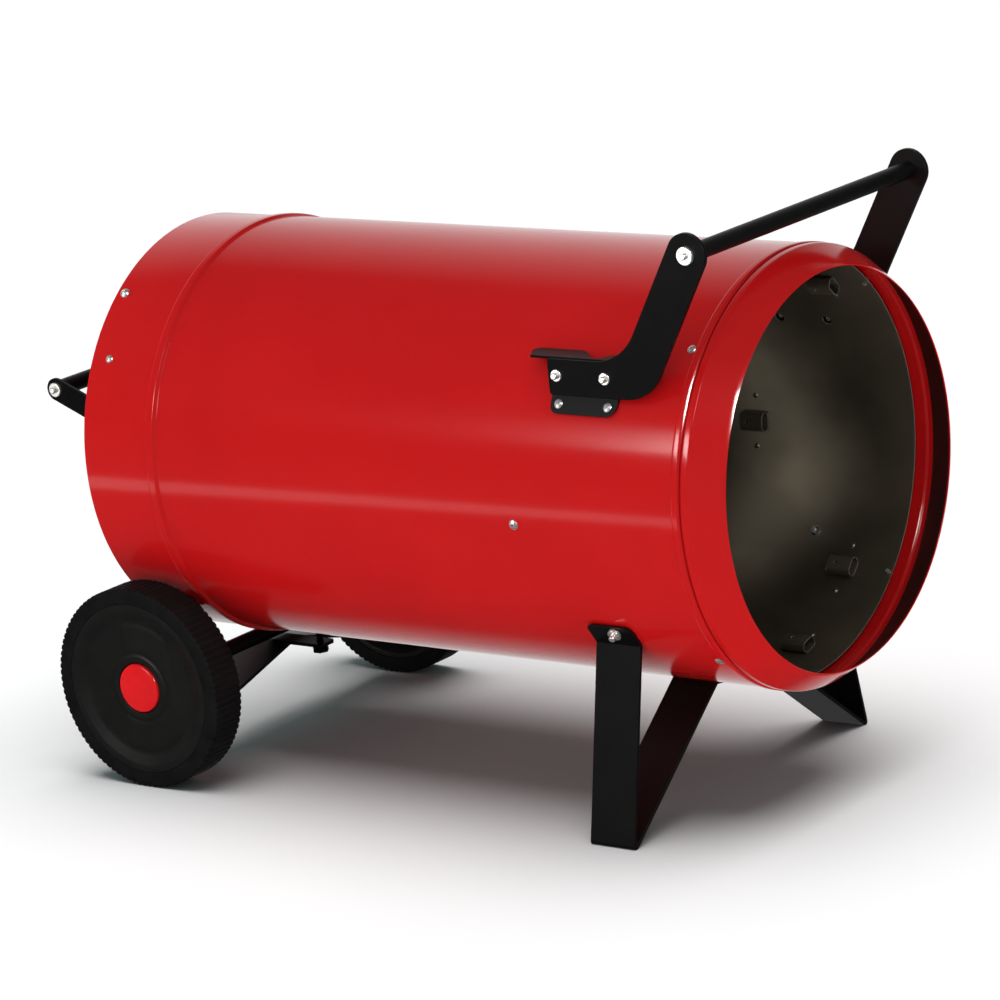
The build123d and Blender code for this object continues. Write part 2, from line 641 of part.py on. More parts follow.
def gas_valve_coil():
    y, z = GAS_YZ
    x = PANEL_REAR_X + 21
    face = rounded_face([(y - 17, z + 22.2, 3), (y + 17, z + 22.2, 3), (y + 17, z + 50, 3),
                         (y - 17, z + 50, 3)])
    coil = slab_yz(face, x - 14, x + 14)
    return coil - rod_z(z + 20, z + 56, x, y, 4.2)


def ignition_controller():
    """Moulded box of the burner control, on the floor of the control box."""
    face = rounded_face([(-20, -90, 3), (60, -90, 3), (60, -30, 3), (-20, -30, 3)])
    case = slab_yz(face, BOX_FRONT_X - SHEET - 26, BOX_FRONT_X - SHEET - 0.1)
    for i in range(5):
        case -= block(BOX_FRONT_X - SHEET - 27, BOX_FRONT_X - SHEET - 23, -12 + i * 14, -4 + i * 14, -86, -74)
    return case


# ---- handles

def front_arm():
    """Flat arm of the front handle: a level foot and a leaning shank with a round head."""
    half = 24.5
    lean = radians(60.6)
    along = (cos(lean), sin(lean))
    foot_top = 168.5
    foot_bottom = 128.2
    foot_end = 681.0
    head = (HANDLE_X + along[0] * half, HANDLE_Z + along[1] * half)
    left = (head[0] - along[1] * half, head[1] + along[0] * half)
    right = (head[0] + along[1] * half, head[1] - along[0] * half)
    inner = (left[0] - (left[1] - foot_top) / tan(lean), foot_top)
    outer = (right[0] - (right[1] - foot_bottom) / tan(lean), foot_bottom)
    face = rounded_face([(foot_end, foot_bottom, 3), outer + (52,), right + (half - 0.01,),
                         left + (half - 0.01,), inner + (65,), (foot_end, foot_top, 3)])
    arm = slab_xz(face, -HANDLE_PLATE_Y - HANDLE_PLATE_THICK, -HANDLE_PLATE_Y)
    for x, z in ARM_BOLTS + [(HANDLE_X, HANDLE_Z)]:
        arm -= rod_y(-240, -200, x, z, 4.2)
    return arm


def front_bracket():
    """Folded bracket: tab on the drum, upright plate, and a notched shelf that reaches the drum again."""
    thick = 3.0
    plate_y = -HANDLE_PLATE_Y + thick / 2
    low = skin_point(25.2, DRUM_RADIUS + SKIN_GAP + thick / 2)
    shelf_z = 168.5
    path = [low, (plate_y, 125.6), (plate_y, shelf_z)]
    folded = slab_yz(sheet_face(path, thick, 2.0), 680, 769)
    bottom = low[1] + 0.6
    outline = rounded_face([(680, bottom, 10), (769, bottom, 14), (769, 172, 2), (680, 172, 2)])
    folded = folded & slab_xz(outline, -240, -200)
    shelf_face = rounded_face([(655, plate_y - thick / 2, 1), (769, plate_y - thick / 2, 1), (769, -196.5, 3),
                               (751.5, -198.5, 1.5), (743.5, -216.5, 0.5), (737.5, -216.0, 0.5),
                               (706, -187.5, 4), (636, -187.5, 9)])
    shelf = slab_xy(shelf_face, shelf_z - thick / 2, shelf_z + thick / 2)
    bracket = folded + shelf
    bracket = drilled(bracket, BRACKET_SCREWS, 3.2)
    for x, z in ARM_BOLTS:
        bracket -= rod_y(-240, -200, x, z, 4.2)
    return bracket


def bar_tube(half_length, x, z):
    tube = rod_y(-half_length, half_length, x, z, HANDLE_BAR_RADIUS)
    bore = rod_y(-half_length + 24, half_length - 24, x, z, HANDLE_BAR_RADIUS - 2)
    return tube - bore - rod_y(-half_length - 1, half_length + 1, x, z, 4.1)


def rear_arm():
    """Straight arm from the control box's side out to the rear handle bar."""
    half = REAR_ARM_HALF
    slope = -22.2
    length = 150.0
    face = rounded_face([(-half, -half, half - 0.01), (length, -half, 5), (length, half, 5),
                         (-half, half, half - 0.01)])
    face = Pos(REAR_HANDLE_X, REAR_HANDLE_Z) * Rot(0, 0, slope) * face
    arm = slab_xz(face, -BOX_HALF_WIDTH - 4.1, -BOX_HALF_WIDTH - 0.1)
    for x, z in REAR_ARM_BOLTS + [(REAR_HANDLE_X, REAR_HANDLE_Z)]:
        arm -= rod_y(-200, -160, x, z, 4.2)
    return arm


def handle_bolts():
    """Bolts of both handles: one in each bar end, two in each arm's foot, their ends outward."""
    outer_face = HANDLE_PLATE_Y + HANDLE_PLATE_THICK
    rear_face = BOX_HALF_WIDTH + 4.1
    end_bolt = nut_and_end(10.3, 3.4, 3.8, 3.9, 26.0)
    rear_end_bolt = nut_and_end(8.8, 3.0, 5.0, 3.9, 26.0)
    foot_bolt = nut_and_end(6.9, 1.6, 5.0, 3.9, 15.0) + Pos(0, 0, -12.3) * extrude(RegularPolygon(6.5, 6), 4)
    rear_foot_bolt = pan_screw(7.5, 4.5, 3.9, 12.0) + Pos(0, 0, -11.5) * extrude(RegularPolygon(6.5, 6), 5.9)
    bolts = []
    for shape, face, places in ((end_bolt, outer_face, [(HANDLE_X, HANDLE_Z)]),
                                (foot_bolt, outer_face, ARM_BOLTS),
                                (rear_end_bolt, rear_face, [(REAR_HANDLE_X, REAR_HANDLE_Z)]),
                                (rear_foot_bolt, rear_face, REAR_ARM_BOLTS)):
        for x, z in places:
            bolts += both_sides(Pos(x, -face, z) * Rot(90, 0, 0) * shape)
    return bolts


def bracket_screws():
    lift = SKIN_GAP + 3.0 + 0.6
    return [on_skin(x, angle, blind_rivet(5.5, 2.2, 3.0, 6.0, lift)) for x, angle in BRACKET_SCREWS]


def drum_screws():
    screws = []
    for x, angle in FRONT_SCREWS:
        screws.append(on_skin(x, angle, blind_rivet(5.3, 2.2, 2.4, 11.0, 0.05)))
    for x, angle in SIDE_SCREWS:
        screws.append(on_skin(x, angle, blind_rivet(6.0, 2.5, 2.4, 11.0, 0.05)))
    for x, angle in GUARD_SCREWS:
        screws.append(on_skin(x, angle, pan_screw(6.2, 4.5, 2.4, 8.0, 0.05)))
    for x, angle in BOX_SCREWS:
        screws.append(on_skin(x, angle, pan_screw(5.0, 3.0, 2.4, 8.0, 0.05)))
    return screws


# ---- legs, axle and wheels

SKIN_STRAP = DRUM_RADIUS + 0.7 + STRAP_THICK / 2


def front_leg():
    """Strap folded to a V: tab, outer branch, foot, inner branch and inner tab."""
    path = [skin_point(-32.8, SKIN_STRAP), skin_point(-40.2, SKIN_STRAP), (-FOOT_Y, FLOOR_Z - 2.0),
            (-56, -246.9), skin_point(-83.6, SKIN_STRAP)]
    strap = slab_yz(sheet_face(path, STRAP_THICK, 0.5), LEG_X - STRAP_WIDTH / 2, LEG_X + STRAP_WIDTH / 2)
    half = STRAP_WIDTH / 2
    tab_top = -137.6
    outline = rounded_face([(LEG_X - half, FLOOR_Z, 0), (LEG_X + half, FLOOR_Z, 0), (LEG_X + half, tab_top, 9),
                            (LEG_X - half, tab_top, 9)])
    leg = strap & slab_xz(outline, -300, 0)
    return drilled(leg, LEG_TAB_BOLTS, 4.2)


CARRIER_FLAT_Z = -278.0
CARRIER_FLAT_Y = 13.0
CARRIER_LOW_Z = -331.0
CARRIER_LOW_Y = 203.0
TONGUE_END_X = 131.0
TONGUE_HALF = 14.0


def axle_carrier():
    """Strap folded to a W under the drum, with a tongue forward; its branches hold the axle."""
    side = [skin_point(-42.5, SKIN_STRAP), skin_point(-48.5, SKIN_STRAP), (-CARRIER_LOW_Y, CARRIER_LOW_Z),
            (-CARRIER_FLAT_Y, CARRIER_FLAT_Z)]
    path = side + [(-y, z) for y, z in side[::-1]]
    carrier = slab_yz(sheet_face(path, STRAP_THICK, 3.0), AXLE_X - STRAP_WIDTH / 2, AXLE_X + STRAP_WIDTH / 2)
    carrier = drilled(carrier, CARRIER_BOLTS, 4.2)
    tongue = rounded_face([(AXLE_X, -TONGUE_HALF, 0), (TONGUE_END_X, -TONGUE_HALF, 6),
                           (TONGUE_END_X, TONGUE_HALF, 6), (AXLE_X, TONGUE_HALF, 0)])
    carrier += slab_xy(tongue, CARRIER_FLAT_Z - STRAP_THICK / 2, CARRIER_FLAT_Z + STRAP_THICK / 2)
    carrier -= rod_z(CARRIER_FLAT_Z - 5, CARRIER_FLAT_Z + 5, STAY_X, 0, 4.3)
    return carrier - rod_y(-260, 260, AXLE_X, -AXLE_DROP, AXLE_RADIUS + 0.1)


def leg_bolts():
    lift = 0.7 + STRAP_THICK + 0.25
    outer = nut_and_end(7.8, 4.0, 6.0, 3.9, 14.0, lift)
    inner = hex_bolt(13, 6.0, 3.9, 8.0, lift)
    bolts = [on_skin(x, angle, outer) for x, angle in LEG_TAB_BOLTS[:2]]
    bolts += [on_skin(x, angle, inner) for x, angle in LEG_TAB_BOLTS[2:] + CARRIER_BOLTS]
    return bolts


def stay_bolt():
    """Long bolt from the drum's floor down through the carrier's tongue."""
    head_seat = -DRUM_INSIDE + 0.1
    head = Pos(STAY_X, 0, head_seat) * extrude(RegularPolygon(6.5, 6), 4)
    return rod_z(CARRIER_FLAT_Z - 12.5, head_seat + 1, STAY_X, 0, 3.9) + head


def stay_nut():
    top = CARRIER_FLAT_Z - STRAP_THICK / 2 - 0.1
    nut = Pos(STAY_X, 0, top - 9.0) * extrude(RegularPolygon(10, 6), 9.0)
    return nut - rod_z(top - 10, top + 1, STAY_X, 0, 3.95)


HUB_FACE_Y = 246.0
AXLE_END_Y = 252.0


def axle():
    bar = rod_y(-AXLE_END_Y, AXLE_END_Y, AXLE_X, -AXLE_DROP, AXLE_RADIUS)
    return bar


def ring_y(y_from, y_to, inner, outer):
    bore = rod_y(y_from - 1, y_to + 1, AXLE_X, -AXLE_DROP, inner)
    return rod_y(y_from, y_to, AXLE_X, -AXLE_DROP, outer) - bore


def axle_collars():
    """On each side a spacer next to the carrier and a push-on retainer at the axle's end."""
    collars = []
    for y_from, y_to, outer in ((-216.4, -201.6, 14.5), (-249.6, -246.6, 16.0)):
        collars += both_sides(ring_y(y_from, y_to, AXLE_RADIUS + 0.05, outer))
    return collars


def turned_wheel(face):
    """Face drawn as (radius, distance out from the drum's middle), turned about the axle."""
    solid = revolve(Plane.XY * face, Axis.Y, 360)
    return Pos(AXLE_X, 0, -AXLE_DROP) * mirror(solid, Plane.XZ)


RIM_SEAT = 104.0
TREAD_LUGS = 92
TREAD_DEPTH = 1.6


def wheel_tyre():
    """Solid rubber tyre with shallow grooves across its tread."""
    inner_y = WHEEL_OUTER_Y - WHEEL_WIDTH
    blank_radius = WHEEL_RADIUS + 0.1
    face = rounded_face([(RIM_SEAT + 0.3, inner_y, 1), (blank_radius, inner_y, 2),
                         (blank_radius, WHEEL_OUTER_Y, 2), (RIM_SEAT + 0.3, WHEEL_OUTER_Y, 1)])
    lug = 2 * pi / TREAD_LUGS
    crest = WHEEL_RADIUS / cos(0.28 * lug)
    groove = WHEEL_RADIUS - TREAD_DEPTH
    outline = []
    for i in range(TREAD_LUGS):
        for turn, reach in ((-0.28, crest), (0.28, crest), (0.42, groove), (0.58, groove)):
            angle = lug * (i + turn)
            outline.append((reach * sin(angle), -reach * cos(angle)))
    tread = make_face(Polyline(*outline, close=True))
    blank = Pos(AXLE_X, 0, -AXLE_DROP) * slab_xz(tread, -WHEEL_OUTER_Y - 1, -inner_y + 1)
    return turned_wheel(face) & blank


def wheel_disc():
    """Moulded disc: hub, web, boss round the cap, and a barrel that carries the tyre."""
    inner_y = WHEEL_OUTER_Y - WHEEL_WIDTH
    barrel = 98.0
    web_out = 258.0
    web_in = 253.5
    face = rounded_face([
        (AXLE_RADIUS + 0.07, inner_y, 0), (24, inner_y, 1), (32, web_in, 4), (barrel, web_in, 3),
        (barrel, inner_y + 1, 0), (RIM_SEAT, inner_y + 1, 0), (RIM_SEAT, WHEEL_OUTER_Y - 1.5, 2),
        (88, WHEEL_OUTER_Y - 1.5, 3), (82, web_out, 4), (42, web_out, 2), (40, 260, 1.5), (31.5, 260, 1),
        (30.5, 257, 0), (25.6, 257, 0), (25.6, HUB_FACE_Y, 0), (AXLE_RADIUS + 0.07, HUB_FACE_Y, 0)])
    return turned_wheel(face)


def hub_cap():
    """Domed cap that plugs into the hub and hides the axle's end."""
    face = rounded_face([(0, 266.4, 0), (18, 265.6, 20), (30, 260.5, 1.2), (30, 257.3, 0), (25.3, 257.3, 0),
                         (25.3, 250.5, 0), (22.5, 250.5, 0), (22.5, 258.5, 2), (0, 260.5, 0)])
    return turned_wheel(face)


def to_floor(shape):
    """Move a finished shape so that the origin is on the floor under the heater's middle."""
    solids = shape if isinstance(shape, list) else shape.solids()
    placed = [Pos(-MIDDLE_X, 0, AXIS_HEIGHT) * solid for solid in solids]
    return placed[0] if len(placed) == 1 else Compound(children=placed)


def export(name, shape):
    export_step(to_floor(shape), f"parts/{name}.step")


def export_pair(name, shape):
    """A piece of the right-hand side and its mirror image on the left."""
    right, left = both_sides(shape)
    export(name + "_right", right)
    export(name + "_left", left)


os.makedirs("parts", exist_ok=True)

SINGLE_PIECES = [drum_shell, outlet_cone, combustion_liner, liner_clips, clip_rivets, flame_disc, burner_cup,
                 target_disc, gas_injector, gas_pipe, electrode_rods, electrode_insulators, overheat_thermostat,
                 motor_body, motor_strap, fan_shaft, fan_impeller, fan_ring, inlet_guard, guard_lugs, control_box,
                 control_panel, panel_screws, box_hangers, power_switch_body, power_rocker, reset_button_collar,
                 reset_button, fault_lamp, thermostat_socket, cable_gland, gas_inlet_nipple, gas_valve,
                 gas_valve_coil, ignition_controller, handle_bolts, bracket_screws, drum_screws, axle_carrier,
                 leg_bolts, stay_bolt, stay_nut, axle, axle_collars]
for piece in SINGLE_PIECES:
    export(piece.__name__, piece())

for name, piece in (("handle_arm", front_arm), ("handle_bracket", front_bracket), ("rear_handle_arm", rear_arm),
                    ("front_leg", front_leg), ("wheel_tyre", wheel_tyre), ("wheel_disc", wheel_disc),
                    ("hub_cap", hub_cap)):
    export_pair(name, piece())

export("handle_bar", bar_tube(HANDLE_PLATE_Y - 0.1, HANDLE_X, HANDLE_Z))
export("rear_handle_bar", bar_tube(BOX_HALF_WIDTH, REAR_HANDLE_X, REAR_HANDLE_Z))
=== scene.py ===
import bpy
import json
import math
import numpy as np
from mathutils import Matrix, Vector


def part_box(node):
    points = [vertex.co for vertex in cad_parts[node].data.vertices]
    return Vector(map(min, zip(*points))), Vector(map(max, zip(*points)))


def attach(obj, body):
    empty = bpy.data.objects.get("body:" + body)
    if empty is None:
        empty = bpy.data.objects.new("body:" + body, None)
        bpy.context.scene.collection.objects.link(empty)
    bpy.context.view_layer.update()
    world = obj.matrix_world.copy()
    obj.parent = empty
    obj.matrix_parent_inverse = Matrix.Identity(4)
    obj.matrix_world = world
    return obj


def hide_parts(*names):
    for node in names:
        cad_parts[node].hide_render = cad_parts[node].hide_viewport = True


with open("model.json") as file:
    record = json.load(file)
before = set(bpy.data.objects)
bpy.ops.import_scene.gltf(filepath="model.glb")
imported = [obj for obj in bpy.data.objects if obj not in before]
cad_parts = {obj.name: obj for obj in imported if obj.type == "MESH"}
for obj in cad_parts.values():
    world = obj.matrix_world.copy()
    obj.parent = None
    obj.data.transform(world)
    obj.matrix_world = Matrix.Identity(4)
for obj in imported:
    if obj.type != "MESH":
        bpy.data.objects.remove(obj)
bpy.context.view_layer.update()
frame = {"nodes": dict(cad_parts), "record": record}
nodes = frame["nodes"]
mm = 0.001

print("frame loaded:", len(nodes), "nodes")

# places that everything else is measured from, read from the frame (mm turns millimetres to metres)
drumLow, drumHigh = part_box("drum_shell")
drumRearX = drumLow.x
axisZ = (drumLow.z + drumHigh.z) / 2
tyreLow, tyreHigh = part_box("wheel_tyre_right")
wheelX = (tyreLow.x + tyreHigh.x) / 2
wheelZ = (tyreLow.z + tyreHigh.z) / 2
wheelFaceY = -tyreLow.y
wheelWidth = tyreHigh.y - tyreLow.y
tyreRadius = (tyreHigh.x - tyreLow.x) / 2


# sRGB hex to the linear colour that the shaders use.
def toLinear(hexColour):
    channels = [int(hexColour[i:i + 2], 16) / 255 for i in (1, 3, 5)]
    return [c / 12.92 if c <= 0.04045 else ((c + 0.055) / 1.055) ** 2.4 for c in channels] + [1.0]


# Add a shader node; a link is a socket or a fixed value, and its name is the input's, or in0, in1
# and so on for an input by number.
def addNode(tree, kind, settings=None, **links):
    node = tree.nodes.new(kind)
    for name, value in (settings or {}).items():
        setattr(node, name, value)
    for name, value in links.items():
        numbered = name.startswith("in") and name[2:].isdigit()
        socket = node.inputs[int(name[2:]) if numbered else name.replace("_", " ")]
        if isinstance(value, bpy.types.NodeSocket):
            tree.links.new(value, socket)
        else:
            socket.default_value = value
    return node


# A material with one Principled shader; returns it with its tree and object coordinates.
def newMaterial(name, **shader):
    material = bpy.data.materials.new(name)
    material.use_nodes = True
    tree = material.node_tree
    tree.nodes.clear()
    surface = addNode(tree, "ShaderNodeBsdfPrincipled", **shader)
    output = addNode(tree, "ShaderNodeOutputMaterial")
    tree.links.new(surface.outputs[0], output.inputs[0])
    place = addNode(tree, "ShaderNodeTexCoord").outputs["Object"]
    return material, tree, surface, place


# Noise whose largest features are about sizeInMm across.
def noiseAt(tree, place, sizeInMm, detail=3.0, roughness=0.55):
    return addNode(tree, "ShaderNodeTexNoise", Vector=place, Scale=1000 / sizeInMm, Detail=detail,
                   Roughness=roughness).outputs["Fac"]


# A value mapped from one range to another and held at its ends.
def remap(tree, value, lowIn, highIn, lowOut, highOut):
    return addNode(tree, "ShaderNodeMapRange", Value=value, in1=lowIn, in2=highIn, in3=lowOut,
                   in4=highOut).outputs[0]


# Two colours mixed by a factor; each is a socket or a fixed colour.
def mixColours(tree, factor, first, second):
    node = addNode(tree, "ShaderNodeMix", {"data_type": "RGBA"}, in0=factor)
    for socket, value in ((node.inputs[6], first), (node.inputs[7], second)):
        if isinstance(value, bpy.types.NodeSocket):
            tree.links.new(value, socket)
        else:
            socket.default_value = value
    return node.outputs[2]


# Normal from (value, height in mm) pairs, over edges rounded by edge mm.
def bumpFrom(tree, heights, edge=0.0):
    normal = addNode(tree, "ShaderNodeBevel", {"samples": 6}, Radius=edge * mm).outputs[0] if edge else None
    for value, height in heights:
        links = {"Height": value, "Strength": 1.0, "Distance": height * mm}
        if normal is not None:
            links["Normal"] = normal
        normal = addNode(tree, "ShaderNodeBump", **links).outputs[0]
    return normal


# Piece from points in metres and faces, smooth but for edges sharper than sharpAngle.
def meshObject(name, points, faces, body, material, sharpAngle=32.0, replaced=()):
    mesh = bpy.data.meshes.new(name)
    mesh.from_pydata(points.tolist(), [], faces)
    mesh.update()
    mesh.shade_smooth()
    mesh.set_sharp_from_angle(angle=math.radians(sharpAngle))
    piece = bpy.data.objects.new(name, mesh)
    bpy.context.scene.collection.objects.link(piece)
    mesh.materials.append(material)
    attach(piece, body)
    if replaced:
        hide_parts(*replaced)
    return piece


# Closed outline with each (a, b, radius) corner replaced by a tangent arc: the corner is trimmed
# by radius / tan(half its angle) and the arc turns from one side to the other.
def roundedLoop(corners, steps=5):
    spots = np.array([c[:2] for c in corners], float)
    before = np.roll(spots, 1, 0) - spots
    after = np.roll(spots, -1, 0) - spots
    outline = []
    for spot, back, ahead, radius in zip(spots, before, after, [c[2] for c in corners]):
        back = back / np.linalg.norm(back)
        ahead = ahead / np.linalg.norm(ahead)
        half = math.acos(np.clip(back @ ahead, -1, 1)) / 2
        if radius <= 0 or half > 1.56:  # no corner, or nearly straight
            outline.append(spot[None])
            continue
        middle = (back + ahead) / np.linalg.norm(back + ahead)
        centre = spot + middle * radius / math.sin(half)
        start = spot + back * radius / math.tan(half) - centre
        end = spot + ahead * radius / math.tan(half) - centre
        sweep = math.atan2(start[0] * end[1] - start[1] * end[0], start @ end)
        turn = np.linspace(0, sweep, steps + 1)[:, None]
        side = np.array([-start[1], start[0]])
        outline.append(centre + np.cos(turn) * start + np.sin(turn) * side)
    return np.vstack(outline)


# Quads of a rows by columns grid of points, closed round either way.
def gridFaces(rows, columns, closeRows=True, closeColumns=True):
    i, j = np.meshgrid(np.arange(rows if closeRows else rows - 1),
                       np.arange(columns if closeColumns else columns - 1), indexing="ij")
    i2 = (i + 1) % rows
    j2 = (j + 1) % columns
    quads = [i * columns + j, i2 * columns + j, i2 * columns + j2, i * columns + j2]
    return np.stack(quads, -1).reshape(-1, 4)


# (along, radius) outline turned about the first axis, with angle t:
# point = (along, radius cos t, radius sin t). reach changes the radius by angle and outline point.
def lathe(outline, segments, reach=None):
    turn = np.linspace(0, 2 * math.pi, segments, endpoint=False)
    along = np.repeat(outline[None, :, 0], segments, 0)
    radius = np.repeat(outline[None, :, 1], segments, 0)
    if reach is not None:
        radius = radius + reach(turn[:, None], outline[None, :, 0], outline[None, :, 1])
    points = np.stack([along, radius * np.cos(turn)[:, None], radius * np.sin(turn)[:, None]], -1)
    return points.reshape(-1, 3), gridFaces(segments, len(outline))


# Turn all faces round if the closed mesh encloses a negative volume.
def outwardFaces(points, faces):
    a, b, c, d = (points[faces[:, k]] for k in range(4))
    volume = np.einsum("ij,ij->i", a, np.cross(b, c)).sum() + np.einsum("ij,ij->i", a, np.cross(c, d)).sum()
    return faces[:, ::-1] if volume < 0 else faces


# Sheet piece turned about the drum's axis, from corners in mm measured from the rear rim. The
# faces that look at the axis between the two lined distances take the lining material, a painted shade.
def drumTurned(name, corners, segments, material, replaced, steps=5, lining=None, lined=(0.0, 1000.0)):
    outline = roundedLoop(corners, steps) * mm
    points, faces = lathe(outline, segments)
    points = points + [drumRearX, 0, axisZ]
    piece = meshObject(name, points, outwardFaces(points, faces).tolist(), "chassis", material, 30,
                       replaced)
    if lining is not None:
        piece.data.materials.append(lining)
        count = len(piece.data.polygons)
        centres = np.empty(count * 3)
        normals = np.empty(count * 3)
        piece.data.polygons.foreach_get("center", centres)
        piece.data.polygons.foreach_get("normal", normals)
        centres = centres.reshape(-1, 3) - [drumRearX, 0, axisZ]
        normals = normals.reshape(-1, 3)
        inward = (centres[:, 1:] * normals[:, 1:]).sum(1) < -0.3 * np.linalg.norm(centres[:, 1:], axis=1)
        chosen = inward & (centres[:, 0] > lined[0] * mm) & (centres[:, 0] < lined[1] * mm)
        piece.data.polygons.foreach_set("material_index", chosen.astype(np.int32))
    return piece


# Edge-on outline of folded sheet along a middle line, with mitred and rounded folds.
def sheetOutline(path, thickness, bend):
    path = np.array(path, float)
    steps = np.diff(path, axis=0)
    steps = steps / np.linalg.norm(steps, axis=1)[:, None]
    before = np.vstack([steps[:1], steps])
    after = np.vstack([steps, steps[-1:]])
    sideA = np.stack([-before[:, 1], before[:, 0]], -1)
    sideB = np.stack([-after[:, 1], after[:, 0]], -1)
    mitre = (sideA + sideB) * (thickness / 2 / (1 + (sideA * sideB).sum(1)))[:, None]
    turn = before[:, 0] * after[:, 1] - before[:, 1] * after[:, 0]
    folded = np.abs(turn) > 1e-6
    inner = np.where(folded, bend, 0.18)
    outer = np.where(folded, bend + thickness, 0.18)
    leftRadius = np.where(turn > 0, inner, outer)
    rightRadius = np.where(turn > 0, outer, inner)
    left = np.column_stack([path + mitre, leftRadius])
    right = np.column_stack([path - mitre, rightRadius])[::-1]
    return np.vstack([left, right]).tolist()


# Polyester enamel sprayed on sheet steel: an even deep red with a wet gloss, and the faint orange
# peel that breaks up the edges of its reflections.
def redEnamelSteel():
    look = {"base": "#d51719", "deep": "#cf1517", "peelMm": 2.6, "driftMm": 160.0}
    material, tree, surface, place = newMaterial("redEnamelSteel", Roughness=0.13, Specular_IOR_Level=0.5)
    drift = noiseAt(tree, place, look["driftMm"], 2.0)
    colour = mixColours(tree, remap(tree, drift, 0.35, 0.65, 0.0, 1.0), toLinear(look["base"]),
                        toLinear(look["deep"]))
    tree.links.new(colour, surface.inputs["Base Color"])
    peel = noiseAt(tree, place, look["peelMm"], 1.5)
    waves = noiseAt(tree, place, 38.0, 1.0)
    normal = bumpFrom(tree, [(waves, 0.02), (peel, 0.004)])
    tree.links.new(normal, surface.inputs["Normal"])
    return material


# The same enamel darkened to a dull brown red with a blotchy random tone: painted shade on the faces
# inside the drum and the outlet's taper that look at the axis.
def scorchedEnamelSteel():
    look = {"base": "#4a1512", "deep": "#2b1512", "stainMm": 60.0}
    material, tree, surface, place = newMaterial("scorchedEnamelSteel", Roughness=0.45,
                                                 Specular_IOR_Level=0.4)
    stain = noiseAt(tree, place, look["stainMm"], 4.0)
    colour = mixColours(tree, remap(tree, stain, 0.3, 0.7, 0.0, 1.0), toLinear(look["base"]),
                        toLinear(look["deep"]))
    tree.links.new(colour, surface.inputs["Base Color"])
    tree.links.new(bumpFrom(tree, [(noiseAt(tree, place, 2.0, 2.0), 0.01)]), surface.inputs["Normal"])
    return material


# Epoxy powder baked on strip steel: satin black whose fine pebbling spreads the highlights.
def blackPowderCoat():
    look = {"base": "#0a0909", "worn": "#100f0e", "grainMm": 1.1}
    material, tree, surface, place = newMaterial("blackPowderCoat", Roughness=0.4, Specular_IOR_Level=0.24)
    patches = noiseAt(tree, place, 45.0, 4.0)
    colour = mixColours(tree, remap(tree, patches, 0.3, 0.7, 0.0, 1.0), toLinear(look["base"]),
                        toLinear(look["worn"]))
    tree.links.new(colour, surface.inputs["Base Color"])
    grain = noiseAt(tree, place, look["grainMm"], 2.0)
    tree.links.new(remap(tree, grain, 0.3, 0.7, 0.36, 0.5), surface.inputs["Roughness"])
    tree.links.new(bumpFrom(tree, [(grain, 0.035)], 0.7), surface.inputs["Normal"])
    return material


# Aluminised sheet darkened by burner heat: a dull olive grey metal, cloudy, with lighter straw
# patches and faint rolling lines along the drum, and a painted highlight on its edges in a pale, less
# metallic colour. An edge is where the normal rounded over edgeMm leaves the face's own normal.
def heatDarkenedSteel():
    look = {"dark": "#5f584a", "light": "#7a7160", "bare": "#d8d2c4", "cloudMm": 140.0, "lineMm": 2.2,
            "edgeMm": 0.7}
    material, tree, surface, place = newMaterial("heatDarkenedSteel", Metallic=0.6, Roughness=0.42)
    cloud = noiseAt(tree, place, look["cloudMm"], 3.0, 0.5)
    colour = mixColours(tree, remap(tree, cloud, 0.35, 0.68, 0.0, 1.0), toLinear(look["dark"]),
                        toLinear(look["light"]))
    rounded = addNode(tree, "ShaderNodeBevel", {"samples": 6}, Radius=look["edgeMm"] * mm).outputs[0]
    flat = addNode(tree, "ShaderNodeNewGeometry").outputs["Normal"]
    alike = addNode(tree, "ShaderNodeVectorMath", {"operation": "DOT_PRODUCT"}, in0=rounded,
                    in1=flat).outputs["Value"]
    # painted highlight: the edges turn pale and less metallic
    paintedGlintMask = remap(tree, alike, 0.97, 0.85, 0.0, 1.0)
    tree.links.new(remap(tree, paintedGlintMask, 0.0, 1.0, 0.6, 0.1), surface.inputs["Metallic"])
    tree.links.new(mixColours(tree, paintedGlintMask, colour, toLinear(look["bare"])), surface.inputs["Base Color"])
    stretched = addNode(tree, "ShaderNodeMapping", Vector=place, Scale=(0.03, 1.0, 1.0)).outputs[0]
    lines = noiseAt(tree, stretched, look["lineMm"], 2.0)
    tree.links.new(remap(tree, cloud, 0.3, 0.7, 0.34, 0.5), surface.inputs["Roughness"])
    tree.links.new(bumpFrom(tree, [(lines, 0.006)], 0.4), surface.inputs["Normal"])
    return material


# Bright zinc on steel fasteners: pale silver with a slight blue to straw drift and soft sparkle
# from the plating's crystals.
def zincPlatedSteel():
    look = {"cool": "#e6e8ea", "warm": "#e9e5db", "crystalMm": 1.4}
    material, tree, surface, place = newMaterial("zincPlatedSteel", Metallic=0.8, Roughness=0.28)
    drift = noiseAt(tree, place, 9.0, 3.0)
    colour = mixColours(tree, remap(tree, drift, 0.35, 0.65, 0.0, 1.0), toLinear(look["cool"]),
                        toLinear(look["warm"]))
    tree.links.new(colour, surface.inputs["Base Color"])
    crystal = noiseAt(tree, place, look["crystalMm"], 2.0)
    tree.links.new(remap(tree, crystal, 0.3, 0.7, 0.2, 0.38), surface.inputs["Roughness"])
    tree.links.new(bumpFrom(tree, [(crystal, 0.008)], 0.4), surface.inputs["Normal"])
    return material


